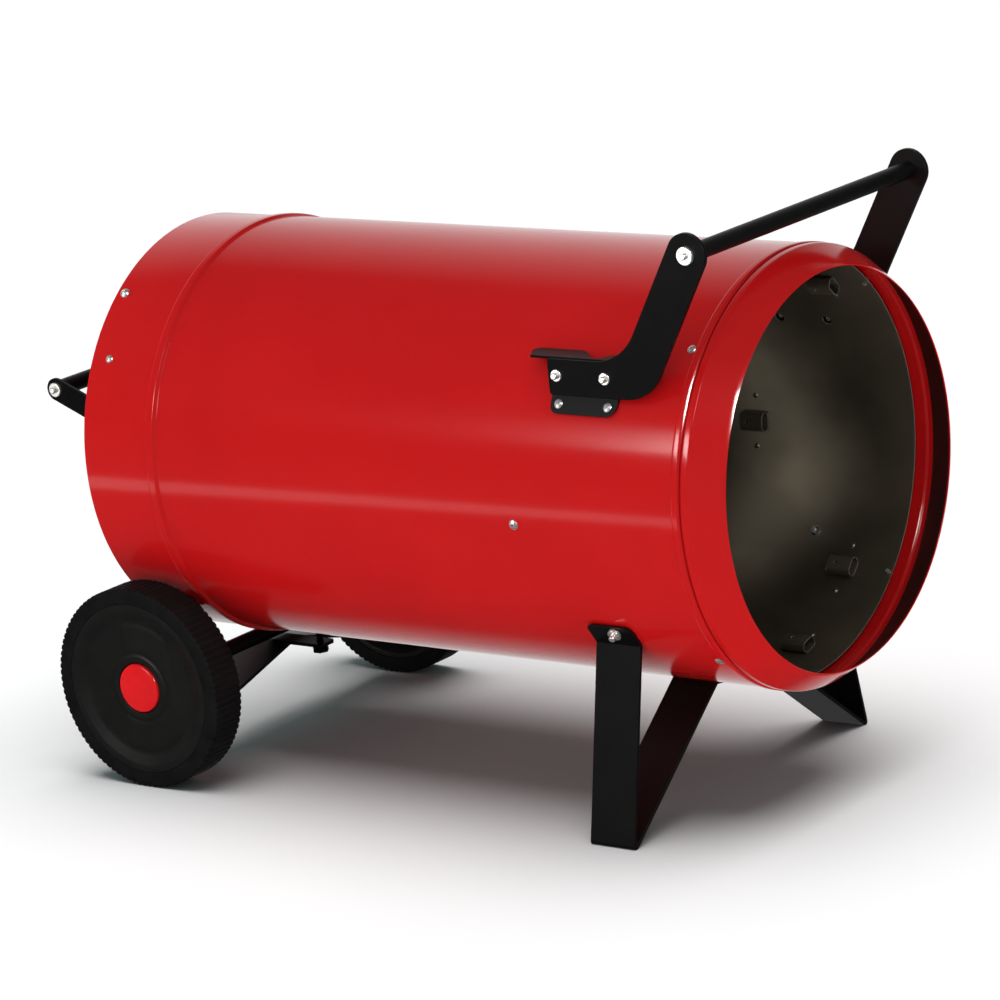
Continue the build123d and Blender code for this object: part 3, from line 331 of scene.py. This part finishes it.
# Hot-dipped sheet steel: each spangle of the zinc froze with its own tilt, so neighbouring cells
# take slightly different greys. Dull after years beside a fan.
def galvanisedSheet():
    look = {"dark": "#8f9496", "light": "#a3a7a8", "spangleMm": 11.0}
    material, tree, surface, place = newMaterial("galvanisedSheet", Metallic=0.55, Roughness=0.42)
    cells = addNode(tree, "ShaderNodeTexVoronoi", Vector=place,
                    Scale=1000 / look["spangleMm"]).outputs["Color"]
    tone = addNode(tree, "ShaderNodeSeparateColor", Color=cells).outputs[0]
    colour = mixColours(tree, tone, toLinear(look["dark"]), toLinear(look["light"]))
    tree.links.new(colour, surface.inputs["Base Color"])
    tree.links.new(remap(tree, tone, 0.0, 1.0, 0.36, 0.5), surface.inputs["Roughness"])
    tree.links.new(bumpFrom(tree, [(noiseAt(tree, place, 5.0, 2.0), 0.01)], 0.5), surface.inputs["Normal"])
    return material


# Moulded solid rubber: nearly black, dusty where the tread meets the ground, dull.
def tyreRubber():
    look = {"base": "#100f0f", "dusty": "#171716", "grainMm": 1.6}
    material, tree, surface, place = newMaterial("tyreRubber", Roughness=0.72, Specular_IOR_Level=0.15)
    dust = noiseAt(tree, place, 22.0, 5.0, 0.65)
    colour = mixColours(tree, remap(tree, dust, 0.4, 0.7, 0.0, 1.0), toLinear(look["base"]),
                        toLinear(look["dusty"]))
    tree.links.new(colour, surface.inputs["Base Color"])
    grain = noiseAt(tree, place, look["grainMm"], 3.0)
    tree.links.new(remap(tree, dust, 0.3, 0.7, 0.62, 0.8), surface.inputs["Roughness"])
    tree.links.new(bumpFrom(tree, [(grain, 0.06)]), surface.inputs["Normal"])
    return material


# Injection moulded polypropylene: a soft sheen over fine spark-eroded grain.
def mouldedPolypropylene(name, base, light, roughness, edge=0.3):
    material, tree, surface, place = newMaterial(name, Roughness=roughness, Specular_IOR_Level=0.5)
    drift = noiseAt(tree, place, 30.0, 3.0)
    colour = mixColours(tree, remap(tree, drift, 0.35, 0.65, 0.0, 1.0), toLinear(base), toLinear(light))
    tree.links.new(colour, surface.inputs["Base Color"])
    grain = noiseAt(tree, place, 0.9, 2.0)
    rough = remap(tree, grain, 0.3, 0.7, roughness - 0.06, roughness + 0.06)
    tree.links.new(rough, surface.inputs["Roughness"])
    tree.links.new(bumpFrom(tree, [(grain, 0.02)], edge), surface.inputs["Normal"])
    return material


# Polished ABS or acrylic: clear even colour under a sharp highlight.
def glossyPlastic(name, base, deep, transmission=0.0):
    material, tree, surface, place = newMaterial(name, Roughness=0.16, Specular_IOR_Level=0.5, IOR=1.5,
                                                 Transmission_Weight=transmission)
    drift = noiseAt(tree, place, 18.0, 2.0)
    colour = mixColours(tree, remap(tree, drift, 0.35, 0.65, 0.0, 1.0), toLinear(base), toLinear(deep))
    tree.links.new(colour, surface.inputs["Base Color"])
    tree.links.new(bumpFrom(tree, [(noiseAt(tree, place, 6.0, 1.0), 0.01)], 0.35), surface.inputs["Normal"])
    return material


# Machined, drawn or cast metal: its tool marks follow stretch.
def bareMetal(name, base, light, roughness, patternMm, stretch=(1.0, 1.0, 1.0)):
    material, tree, surface, place = newMaterial(name, Metallic=1.0, Roughness=roughness)
    drift = noiseAt(tree, place, 14.0, 3.0)
    colour = mixColours(tree, remap(tree, drift, 0.35, 0.65, 0.0, 1.0), toLinear(base), toLinear(light))
    tree.links.new(colour, surface.inputs["Base Color"])
    stretched = addNode(tree, "ShaderNodeMapping", Vector=place, Scale=stretch).outputs[0]
    marks = noiseAt(tree, stretched, patternMm, 2.0)
    rough = remap(tree, marks, 0.3, 0.7, roughness - 0.07, roughness + 0.09)
    tree.links.new(rough, surface.inputs["Roughness"])
    tree.links.new(bumpFrom(tree, [(marks, 0.02)], 0.35), surface.inputs["Normal"])
    return material


# Air-dried grey enamel on a cast motor case, slightly rough from the casting.
def greyMachineEnamel():
    material, tree, surface, place = newMaterial("greyMachineEnamel", Roughness=0.45, Specular_IOR_Level=0.5)
    drift = noiseAt(tree, place, 35.0, 4.0)
    colour = mixColours(tree, remap(tree, drift, 0.35, 0.65, 0.0, 1.0), toLinear("#3c4043"),
                        toLinear("#474b4e"))
    tree.links.new(colour, surface.inputs["Base Color"])
    skin = noiseAt(tree, place, 2.5, 3.0)
    tree.links.new(bumpFrom(tree, [(skin, 0.08)], 0.8), surface.inputs["Normal"])
    return material


# Glazed alumina: warm white with a glassy skin.
def glazedCeramic():
    material, tree, surface, place = newMaterial("glazedCeramic", Roughness=0.12, Specular_IOR_Level=0.5)
    drift = noiseAt(tree, place, 8.0, 3.0)
    colour = mixColours(tree, remap(tree, drift, 0.35, 0.65, 0.0, 1.0), toLinear("#e9e5da"),
                        toLinear("#d9d3c4"))
    tree.links.new(colour, surface.inputs["Base Color"])
    tree.links.new(bumpFrom(tree, [(noiseAt(tree, place, 3.0, 1.0), 0.02)], 0.3), surface.inputs["Normal"])
    return material


finishes = {
    "red_enamel": redEnamelSteel(),
    "black_paint": blackPowderCoat(),
    "grey_paint": greyMachineEnamel(),
    "heat_dark_steel": heatDarkenedSteel(),
    "zinc_steel": zincPlatedSteel(),
    "black_zinc": bareMetal("blackZincSteel", "#1d1d1f", "#2a2a2c", 0.4, 2.0),
    "pipe_steel": bareMetal("drawnStainlessSteel", "#8f8d89", "#a3a19c", 0.3, 1.2, (0.1, 1.0, 1.0)),
    "fan_aluminium": bareMetal("pressedAluminium", "#b4b6b8", "#c3c5c6", 0.36, 2.0, (1.0, 0.15, 1.0)),
    "brass": bareMetal("machinedBrass", "#b08d4a", "#c19c57", 0.28, 1.0, (0.2, 1.0, 1.0)),
    "white_ceramic": glazedCeramic(),
    "black_plastic": mouldedPolypropylene("blackNylonMoulding", "#1a1a1b", "#222223", 0.46),
    "black_gloss": glossyPlastic("blackAbsGloss", "#131313", "#181818"),
    "green_plastic": glossyPlastic("greenAbsGloss", "#157a34", "#106429"),
    "lamp_lens": glossyPlastic("amberAcrylicLens", "#d9731a", "#c25e10", 0.35),
    "wheel_plastic": mouldedPolypropylene("blackWheelPolypropylene", "#141312", "#191816", 0.44),
    "tyre": tyreRubber(),
    "red_plastic": glossyPlastic("redAbsGloss", "#f2191f", "#ea171d"),
}

# dark enamel that paints the shade on the inward faces of the drum and the outlet's taper
scorched = scorchedEnamelSteel()
galvanised = galvanisedSheet()
galvanisedNodes = {"fan_ring", "motor_strap", "box_hangers"}

for entry in frame["record"]["subparts"]:
    node = nodes[entry["node"]]
    node.data.materials.clear()
    finish = galvanised if entry["node"] in galvanisedNodes else finishes[entry["material_slot"]]
    node.data.materials.append(finish)
print("materials on", len(nodes), "nodes")


# drum and outlet, in mm from the drum's rear rim and from its axis
drumLook = {"radius": 250.0, "sheet": 1.2, "foldRadius": 1.2, "beadX": 104.0, "beadHeight": 3.4,
            "beadHalf": 8.0, "frontBeadX": 853.0, "frontBeadHeight": 1.9, "frontBeadHalf": 5.0,
            "scorchedFrom": 120.0, "segments": 384}


# Middle line of a bead: up a slope, across and down again.
def beadPath(x, half, height, radius):
    slope = height * 1.1
    return [(x - half, radius), (x - half + slope, radius + height), (x + half - slope, radius + height),
            (x + half, radius)]


# Rolled sheet with a bead near each end, turned about the axis in one piece; its inward faces past the
# given distance take painted shade.
def makeDrum(look):
    middle = look["radius"] - look["sheet"] / 2
    path = [(0, middle)] + beadPath(look["beadX"], look["beadHalf"], look["beadHeight"], middle)
    path += beadPath(look["frontBeadX"], look["frontBeadHalf"], look["frontBeadHeight"], middle)
    outline = sheetOutline(path, look["sheet"], look["foldRadius"])
    return drumTurned("drumShell", outline, look["segments"], finishes["red_enamel"],
                      ["drum_shell"], lining=scorched, lined=(look["scorchedFrom"], 1000.0))


drumShell = makeDrum(drumLook)

outletLook = {"endX": 905.0, "endRadius": 229.3, "sleeveX": 833.0, "sleeveEndX": 859.6,
              "sleeveRadius": 248.0, "shoulderX": 861.9, "shoulderEndX": 869, "shoulderRadius": 250.4,
              "sheet": 1.2, "foldRadius": 0.8, "shoulderFold": 5.0, "scorched": (867.5, 902.4),
              "segments": 384}


# Sleeve, rounded shoulder, straight taper and a hem folded inwards at the mouth. The fold between
# shoulder and taper is the wide one. The taper's inward faces take painted shade.
def makeOutlet(look):
    end, radius = look["endX"], look["endRadius"]
    path = [(look["sleeveX"], look["sleeveRadius"]), (look["sleeveEndX"], look["sleeveRadius"]),
            (look["shoulderX"], look["shoulderRadius"]), (look["shoulderEndX"], look["shoulderRadius"]),
            (end - 3.4, radius + 0.6), (end - 0.35, radius - 1.7)]
    bends = np.array([look["foldRadius"]] * 3 + [look["shoulderFold"]] + [look["foldRadius"]] * 2)
    outline = sheetOutline(path, look["sheet"], bends)
    return drumTurned("outletCone", outline, look["segments"], finishes["red_enamel"],
                      ["outlet_cone"], 6, lining=scorched, lined=look["scorched"])


makeOutlet(outletLook)
print("drum and outlet built")


# wheels, in mm; each is drawn about the axle with its outward axis along +x
tyreLook = {"lugs": 92, "grooveDepth": 1.5, "grooveShare": 0.3, "grooveEdge": 60, "grooveReach": 4.0,
            "seatRadius": 104.3, "perLug": 8}


# Tyre section turned about the axle; radius drops by the groove depth where the angle falls in a
# groove, fading to nothing down the side walls.
def makeTyre(side, look):
    inner = (wheelFaceY - wheelWidth) / mm
    outer = wheelFaceY / mm
    radius = tyreRadius / mm
    seat = look["seatRadius"]
    middle = (inner + outer) / 2
    corners = [(inner, seat, 0.3), (inner, radius - 6, 0), (inner + 0.6, radius, 1.6), (middle, radius, 0),
               (outer - 0.6, radius, 1.6), (outer, radius - 6, 0), (outer, seat, 0.3)]
    outline = roundedLoop(corners, 5)

    def treadReach(turn, along, reach):
        phase = (turn * look["lugs"] / (2 * math.pi)) % 1.0
        inGroove = 1 / (1 + np.exp((np.abs(phase - 0.5) - look["grooveShare"] / 2) * look["grooveEdge"]))
        nearTread = np.clip((reach - (radius - look["grooveReach"])) / 3.0, 0, 1)
        return -look["grooveDepth"] * inGroove * nearTread

    points, faces = lathe(outline, look["lugs"] * look["perLug"], treadReach)
    return placeOnAxle("tyre", side, points, faces, finishes["tyre"], f"wheel_tyre_{side}")


# Turn a part drawn with its outward axis along +x on to the right or left end of the axle.
def placeOnAxle(name, side, points, faces, material, node, sharp=35):
    sign = -1 if side == "right" else 1
    placed = np.stack([wheelX + points[:, 1] * mm, sign * points[:, 0] * mm, wheelZ + points[:, 2] * mm], -1)
    return meshObject(f"{name}_{side}", placed, outwardFaces(placed, faces).tolist(), f"wheel_{side}",
                      material, sharp, [node])


# the band lies between two lines: (place at the axle's height, slant)
discLook = {"seatRadius": 104.0, "webDepth": 5.6, "webRings": (76, 44, -3.2), "webReach": (42, 81),
            "bandHeight": 1.3, "bandLeft": (-26, 0.08), "bandRight": (56, -0.14), "segments": 256,
            "boreRadius": 9.57, "hubHoleRadius": 25.6}


# Disc section turned about the axle, with its outer web raised in a band across the hub: the
# band's height fades by a smooth step at two slanting edges and at the dish's ring.
def makeDisc(side, look):
    face = wheelFaceY / mm
    back = (wheelFaceY - wheelWidth) / mm
    web = face - look["webDepth"]
    corners = [(back + 0.3, look["boreRadius"], 0.4), (back + 0.3, 24, 1), (face - 11, 32, 4),
               (face - 11, 96, 4), (back + 1, 97.5, 1), (back + 1, look["seatRadius"], 0.6),
               (face - 0.15, look["seatRadius"], 0.3), (face - 0.9, 96, 6), (web + 0.6, 84, 6), (web, 80, 2)]
    rings = [(web, r, 0) for r in np.arange(*look["webRings"])]  # points for the band to raise
    hub = [(web + 0.2, 42.5, 2), (face - 3.4, 39, 2), (face - 3.4, 31.6, 0.8), (face - 6.8, 30.6, 0.4),
           (face - 6.8, look["hubHoleRadius"], 0.4), (face - 18, look["hubHoleRadius"], 0.4),
           (face - 18, look["boreRadius"], 0.4)]
    outline = roundedLoop(corners + rings + hub, 4)
    points, faces = lathe(outline, look["segments"])
    reach = np.hypot(points[:, 1], points[:, 2])
    across, height = points[:, 1], points[:, 2]
    webStart, webEnd = look["webReach"]
    onWeb = (points[:, 0] > web - 0.3) & (points[:, 0] < web + 1.0) & (reach < webEnd) & (reach > webStart)
    left = look["bandLeft"][0] + look["bandLeft"][1] * height
    right = look["bandRight"][0] + look["bandRight"][1] * height

    def smoothStep(value):
        value = np.clip(value, 0, 1)
        return value * value * (3 - 2 * value)

    band = smoothStep((across - left) / 5) * smoothStep((right - across) / 5)
    fade = smoothStep((webEnd - reach) / 6) * smoothStep((reach - webStart + 1) / 4)
    points[:, 0] += np.where(onWeb, look["bandHeight"] * band * fade, 0)
    return placeOnAxle("wheelDisc", side, points, faces, finishes["wheel_plastic"],
                       f"wheel_disc_{side}", 40)


# Hub cap: a shallow dome with a rolled rim, over a short skirt that plugs into the hub.
def makeCap(side):
    face = wheelFaceY / mm
    dome = roundedLoop([(face + 2.4, 0.02, 0), (face + 1.9, 17, 30), (face - 2.2, 29.4, 3),
                        (face - 5.2, 30, 0.6), (face - 6.6, 29, 0.4), (face - 6.6, 25.3, 0.3),
                        (face - 13.5, 25.3, 0.3), (face - 13.5, 22.5, 0.3), (face - 5.6, 22.5, 1.5),
                        (face - 3.6, 0.02, 0)], 6)
    points, faces = lathe(dome, 128)
    return placeOnAxle("hubCap", side, points, faces, finishes["red_plastic"],
                       f"hub_cap_{side}", 40)


for side in ("right", "left"):
    makeTyre(side, tyreLook)
    makeDisc(side, discLook)
    makeCap(side)
print("wheels built")


# switch marks, in mm from the middle of the rocker at the drum's rear rim
markLook = {"valleyX": 3.1, "slope": 0.1186, "start": 5.0, "end": 9.6, "width": 0.8, "gap": 1.1,
            "thick": 0.16}


# Pad-printed ink: matt white, a little thin where the pad lifted.
def whiteInk():
    material, tree, surface, place = newMaterial("whiteInk", Roughness=0.6, Specular_IOR_Level=0.4)
    drift = noiseAt(tree, place, 1.5, 3.0)
    colour = mixColours(tree, remap(tree, drift, 0.3, 0.7, 0.0, 1.0), toLinear("#e4e4e0"),
                        toLinear("#cfcfca"))
    tree.links.new(colour, surface.inputs["Base Color"])
    return material


# I and II printed on the two slopes of the rocker, as thin bars half sunk in its face. The face
# runs rearwards from its valley by slope times the distance from the middle.
def makeRockerMarks(look):
    low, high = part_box("power_rocker")
    middle = Vector((drumRearX, (low.y + high.y) / 2, (low.z + high.z) / 2))
    sides = np.array([(0, 1, 3, 2), (4, 6, 7, 5), (0, 4, 5, 1), (2, 3, 7, 6), (0, 2, 6, 4), (1, 5, 7, 3)])
    points, faces = [], []
    for end, offset in ((1, 0.0), (-1, -look["gap"]), (-1, look["gap"])):
        bar = np.array([(look["valleyX"] - look["slope"] * along - rise, offset + across, end * along)
                        for along in (look["start"], look["end"])
                        for across in (-look["width"] / 2, look["width"] / 2)
                        for rise in (-look["thick"] / 2, look["thick"] / 2)])
        faces.append(outwardFaces(bar, sides) + 8 * len(points))
        points.append(bar * mm + middle)
    return meshObject("rockerMarks", np.vstack(points), np.vstack(faces).tolist(), "power_rocker",
                      whiteInk())


makeRockerMarks(markLook)
print("switch marks built")


# studio: pale floor, white backdrop, and lamps placed in metres
studioLook = {"floorHalf": 40.0, "floorColour": "#9fb0b0", "skyLight": 0.45, "skyShine": 0.06,
              "backdrop": 1.0, "wallShine": 0.85, "wallSide": (-0.63, 0.77, 0.0), "wallSpread": (0.56, 0.97),
              "overheadSun": 7.87, "sunColour": (1.0, 0.7725, 0.7725), "sunWidth": 58.0}


# Matt square floor that reflections leave out.
def makeFloor(look):
    half = look["floorHalf"]
    mesh = bpy.data.meshes.new("studioFloor")
    corners = [(-half, -half, 0), (half, -half, 0), (half, half, 0), (-half, half, 0)]
    mesh.from_pydata(corners, [], [(0, 1, 2, 3)])
    floor = bpy.data.objects.new("studioFloor", mesh)
    bpy.context.scene.collection.objects.link(floor)
    material, tree, surface, place = newMaterial("paleStudioFloor", Roughness=1.0, Specular_IOR_Level=0.0)
    surface.inputs["Base Color"].default_value = toLinear(look["floorColour"])
    mesh.materials.append(material)
    floor.visible_glossy = False
    return floor


# Even light from all round, in front of a white backdrop. In reflections it is nearly black but
# for a glow that rises evenly towards the wall's side (direction . side).
def makeSky(look):
    world = bpy.data.worlds.new("paleStudio")
    world.use_nodes = True
    tree = world.node_tree
    path = addNode(tree, "ShaderNodeLightPath")
    towards = addNode(tree, "ShaderNodeTexCoord").outputs["Generated"]
    aside = addNode(tree, "ShaderNodeVectorMath", {"operation": "DOT_PRODUCT"}, in0=towards,
                    in1=look["wallSide"]).outputs["Value"]
    shine = remap(tree, aside, *look["wallSpread"], look["skyShine"], look["skyShine"] + look["wallShine"])
    soft = addNode(tree, "ShaderNodeMapRange", Value=path.outputs["Is Glossy Ray"], in3=look["skyLight"],
                   in4=shine).outputs[0]
    strength = remap(tree, path.outputs["Is Camera Ray"], 0.0, 1.0, soft, look["backdrop"])
    tree.nodes["Background"].inputs["Color"].default_value = (1, 1, 1, 1)
    tree.links.new(strength, tree.nodes["Background"].inputs["Strength"])
    bpy.context.scene.world = world


# Light at place, turned to face aim; it can be left out of soft shading or of reflections.
def addLight(name, kind, place, aim, diffuse=True, glossy=True, **settings):
    light = bpy.data.lights.new(name, kind)
    for setting, value in settings.items():
        setattr(light, setting, value)
    lamp = bpy.data.objects.new(name, light)
    bpy.context.scene.collection.objects.link(lamp)
    direction = Vector(aim) - Vector(place)
    lamp.matrix_world = Matrix.Translation(place) @ direction.to_track_quat("-Z", "Y").to_matrix().to_4x4()
    lamp.visible_camera = False
    lamp.visible_diffuse = diffuse
    lamp.visible_glossy = glossy
    return lamp


# Let the lamp light only these pieces (INCLUDE) or everything but them (EXCLUDE).
def lightUp(lamp, state, *pieces):
    group = bpy.data.collections.new(lamp.name + "Group")
    for count, piece in enumerate(pieces):
        group.objects.link(piece)
        group.collection_objects[count].light_linking.link_state = state
    lamp.light_linking.receiver_collection = group


# Rectangular lamp, width by height in metres, facing aim.
def addSoftbox(name, place, aim, width, height, watts, **reach):
    return addLight(name, "AREA", place, aim, shape="RECTANGLE", size=width, size_y=height, energy=watts,
                    **reach)


# the broad sun makes the shadow on the floor, and fills shade the heater
floor = makeFloor(studioLook)
makeSky(studioLook)
sun = addLight("overheadSun", "SUN", (0.45, 0.1, 4), (0, 0, 0), glossy=False,
               energy=studioLook["overheadSun"], color=studioLook["sunColour"],
               angle=math.radians(studioLook["sunWidth"]))
lightUp(sun, "INCLUDE", floor)
topFill = addLight("topFill", "SUN", (-0.3, -1.0, 3.0), (0, 0, 0), glossy=False, energy=0.62,
                   angle=math.radians(100))
lightUp(topFill, "EXCLUDE", floor)
sideFill = addSoftbox("sideFill", (0.9, -3.4, 0.9), (0, 0, 0.35), 3.2, 1.4, 10, glossy=False)
lightUp(sideFill, "EXCLUDE", floor)
rearFill = addSoftbox("rearFill", (-3.0, -0.5, 1.2), (0, 0, 0.35), 1.6, 1.6, 25, glossy=False)
lightUp(rearFill, "EXCLUDE", floor)
# seen in reflections only: the window, its bright core, and the glints of shoulder, drum and mouth
addSoftbox("window", (-0.66, -2.35, 1.3), (0.42, -0.23, 0.47), 1.24, 0.5, 2.6, diffuse=False)
addSoftbox("windowCore", (-0.70, -2.33, 1.3), (0.42, -0.23, 0.47), 1.01, 0.42, 13, diffuse=False)
addSoftbox("shoulderGlint", (0.86, -1.9, 2.1), (0.46, -0.24, 0.47), 0.5, 0.7, 3.5, diffuse=False)
lowStrip = addSoftbox("lowStrip", (-0.5, -1.3, 0.03), (0.2, -0.25, 0.38), 3.0, 0.1, 0.9, diffuse=False)
lightUp(lowStrip, "INCLUDE", drumShell)
mouthGlint = addSoftbox("mouthGlint", (1.7, -0.9, 1.35), (0.46, 0.22, 0.3), 0.3, 0.5, 33, diffuse=False)
lightUp(mouthGlint, "EXCLUDE", nodes["combustion_liner"])
# the small bright metal of nuts and rivets
fasteners = [nodes[name] for name in ("handle_bolts", "bracket_screws", "drum_screws", "leg_bolts")]
boltFill = addSoftbox("boltFill", (-0.75, -1.6, 0.25), (0.2, -0.2, 0.5), 1.6, 0.7, 8)
lightUp(boltFill, "INCLUDE", *fasteners)
rivetFill = addSoftbox("rivetFill", (-0.95, -1.7, 1.45), (0.3, -0.2, 0.5), 1.0, 0.45, 5)
lightUp(rivetFill, "INCLUDE", *fasteners)

# light patches on the liner's inside, each by a spot lamp a short reach from it
linerGlow = {"reach": 0.16, "cone": 58.0, "soft": 0.06,
             "patches": [((682, 223, -78), 1.5), ((640, 232, 41), 0.9), ((630, 180, -152), 0.9)]}
for count, (patch, watts) in enumerate(linerGlow["patches"]):
    spot = Vector(patch) * mm
    inward = Vector((0, -spot.y, -spot.z)).normalized() * linerGlow["reach"]
    rear = Vector((drumRearX, 0, axisZ))
    glow = addLight(f"linerGlow{count}", "SPOT", rear + spot + inward, rear + spot, glossy=False,
                    energy=watts, spot_size=math.radians(linerGlow["cone"]), spot_blend=1.0,
                    shadow_soft_size=linerGlow["soft"])
    lightUp(glow, "INCLUDE", nodes["combustion_liner"])


# the photograph's camera, solved from the drum's rims and beads and from what stands on the floor
cameraLook = {"placeMm": (3757.4, -4233.3, 1324.3), "lens": 170.48,
              "right": (0.79686, 0.59633, -0.09703), "up": (-0.07588, 0.2581, 0.96313),
              "forward": (-0.59939, 0.76012, -0.25091)}


def makeCamera(look):
    data = bpy.data.cameras.new("photoCamera")
    data.sensor_width = 36  # mm, as the lens
    data.lens = look["lens"]
    data.clip_end = 200
    camera = bpy.data.objects.new("photoCamera", data)
    bpy.context.scene.collection.objects.link(camera)
    turn = Matrix([look["right"], look["up"], [-v for v in look["forward"]]]).transposed()
    place = Vector(look["placeMm"]) * mm + Vector((drumRearX, 0, axisZ))
    camera.matrix_world = Matrix.Translation(place) @ turn.normalized().to_4x4()
    bpy.context.scene.camera = camera


makeCamera(cameraLook)
bpy.context.scene.view_settings.view_transform = "Standard"
print("studio lit and camera placed")
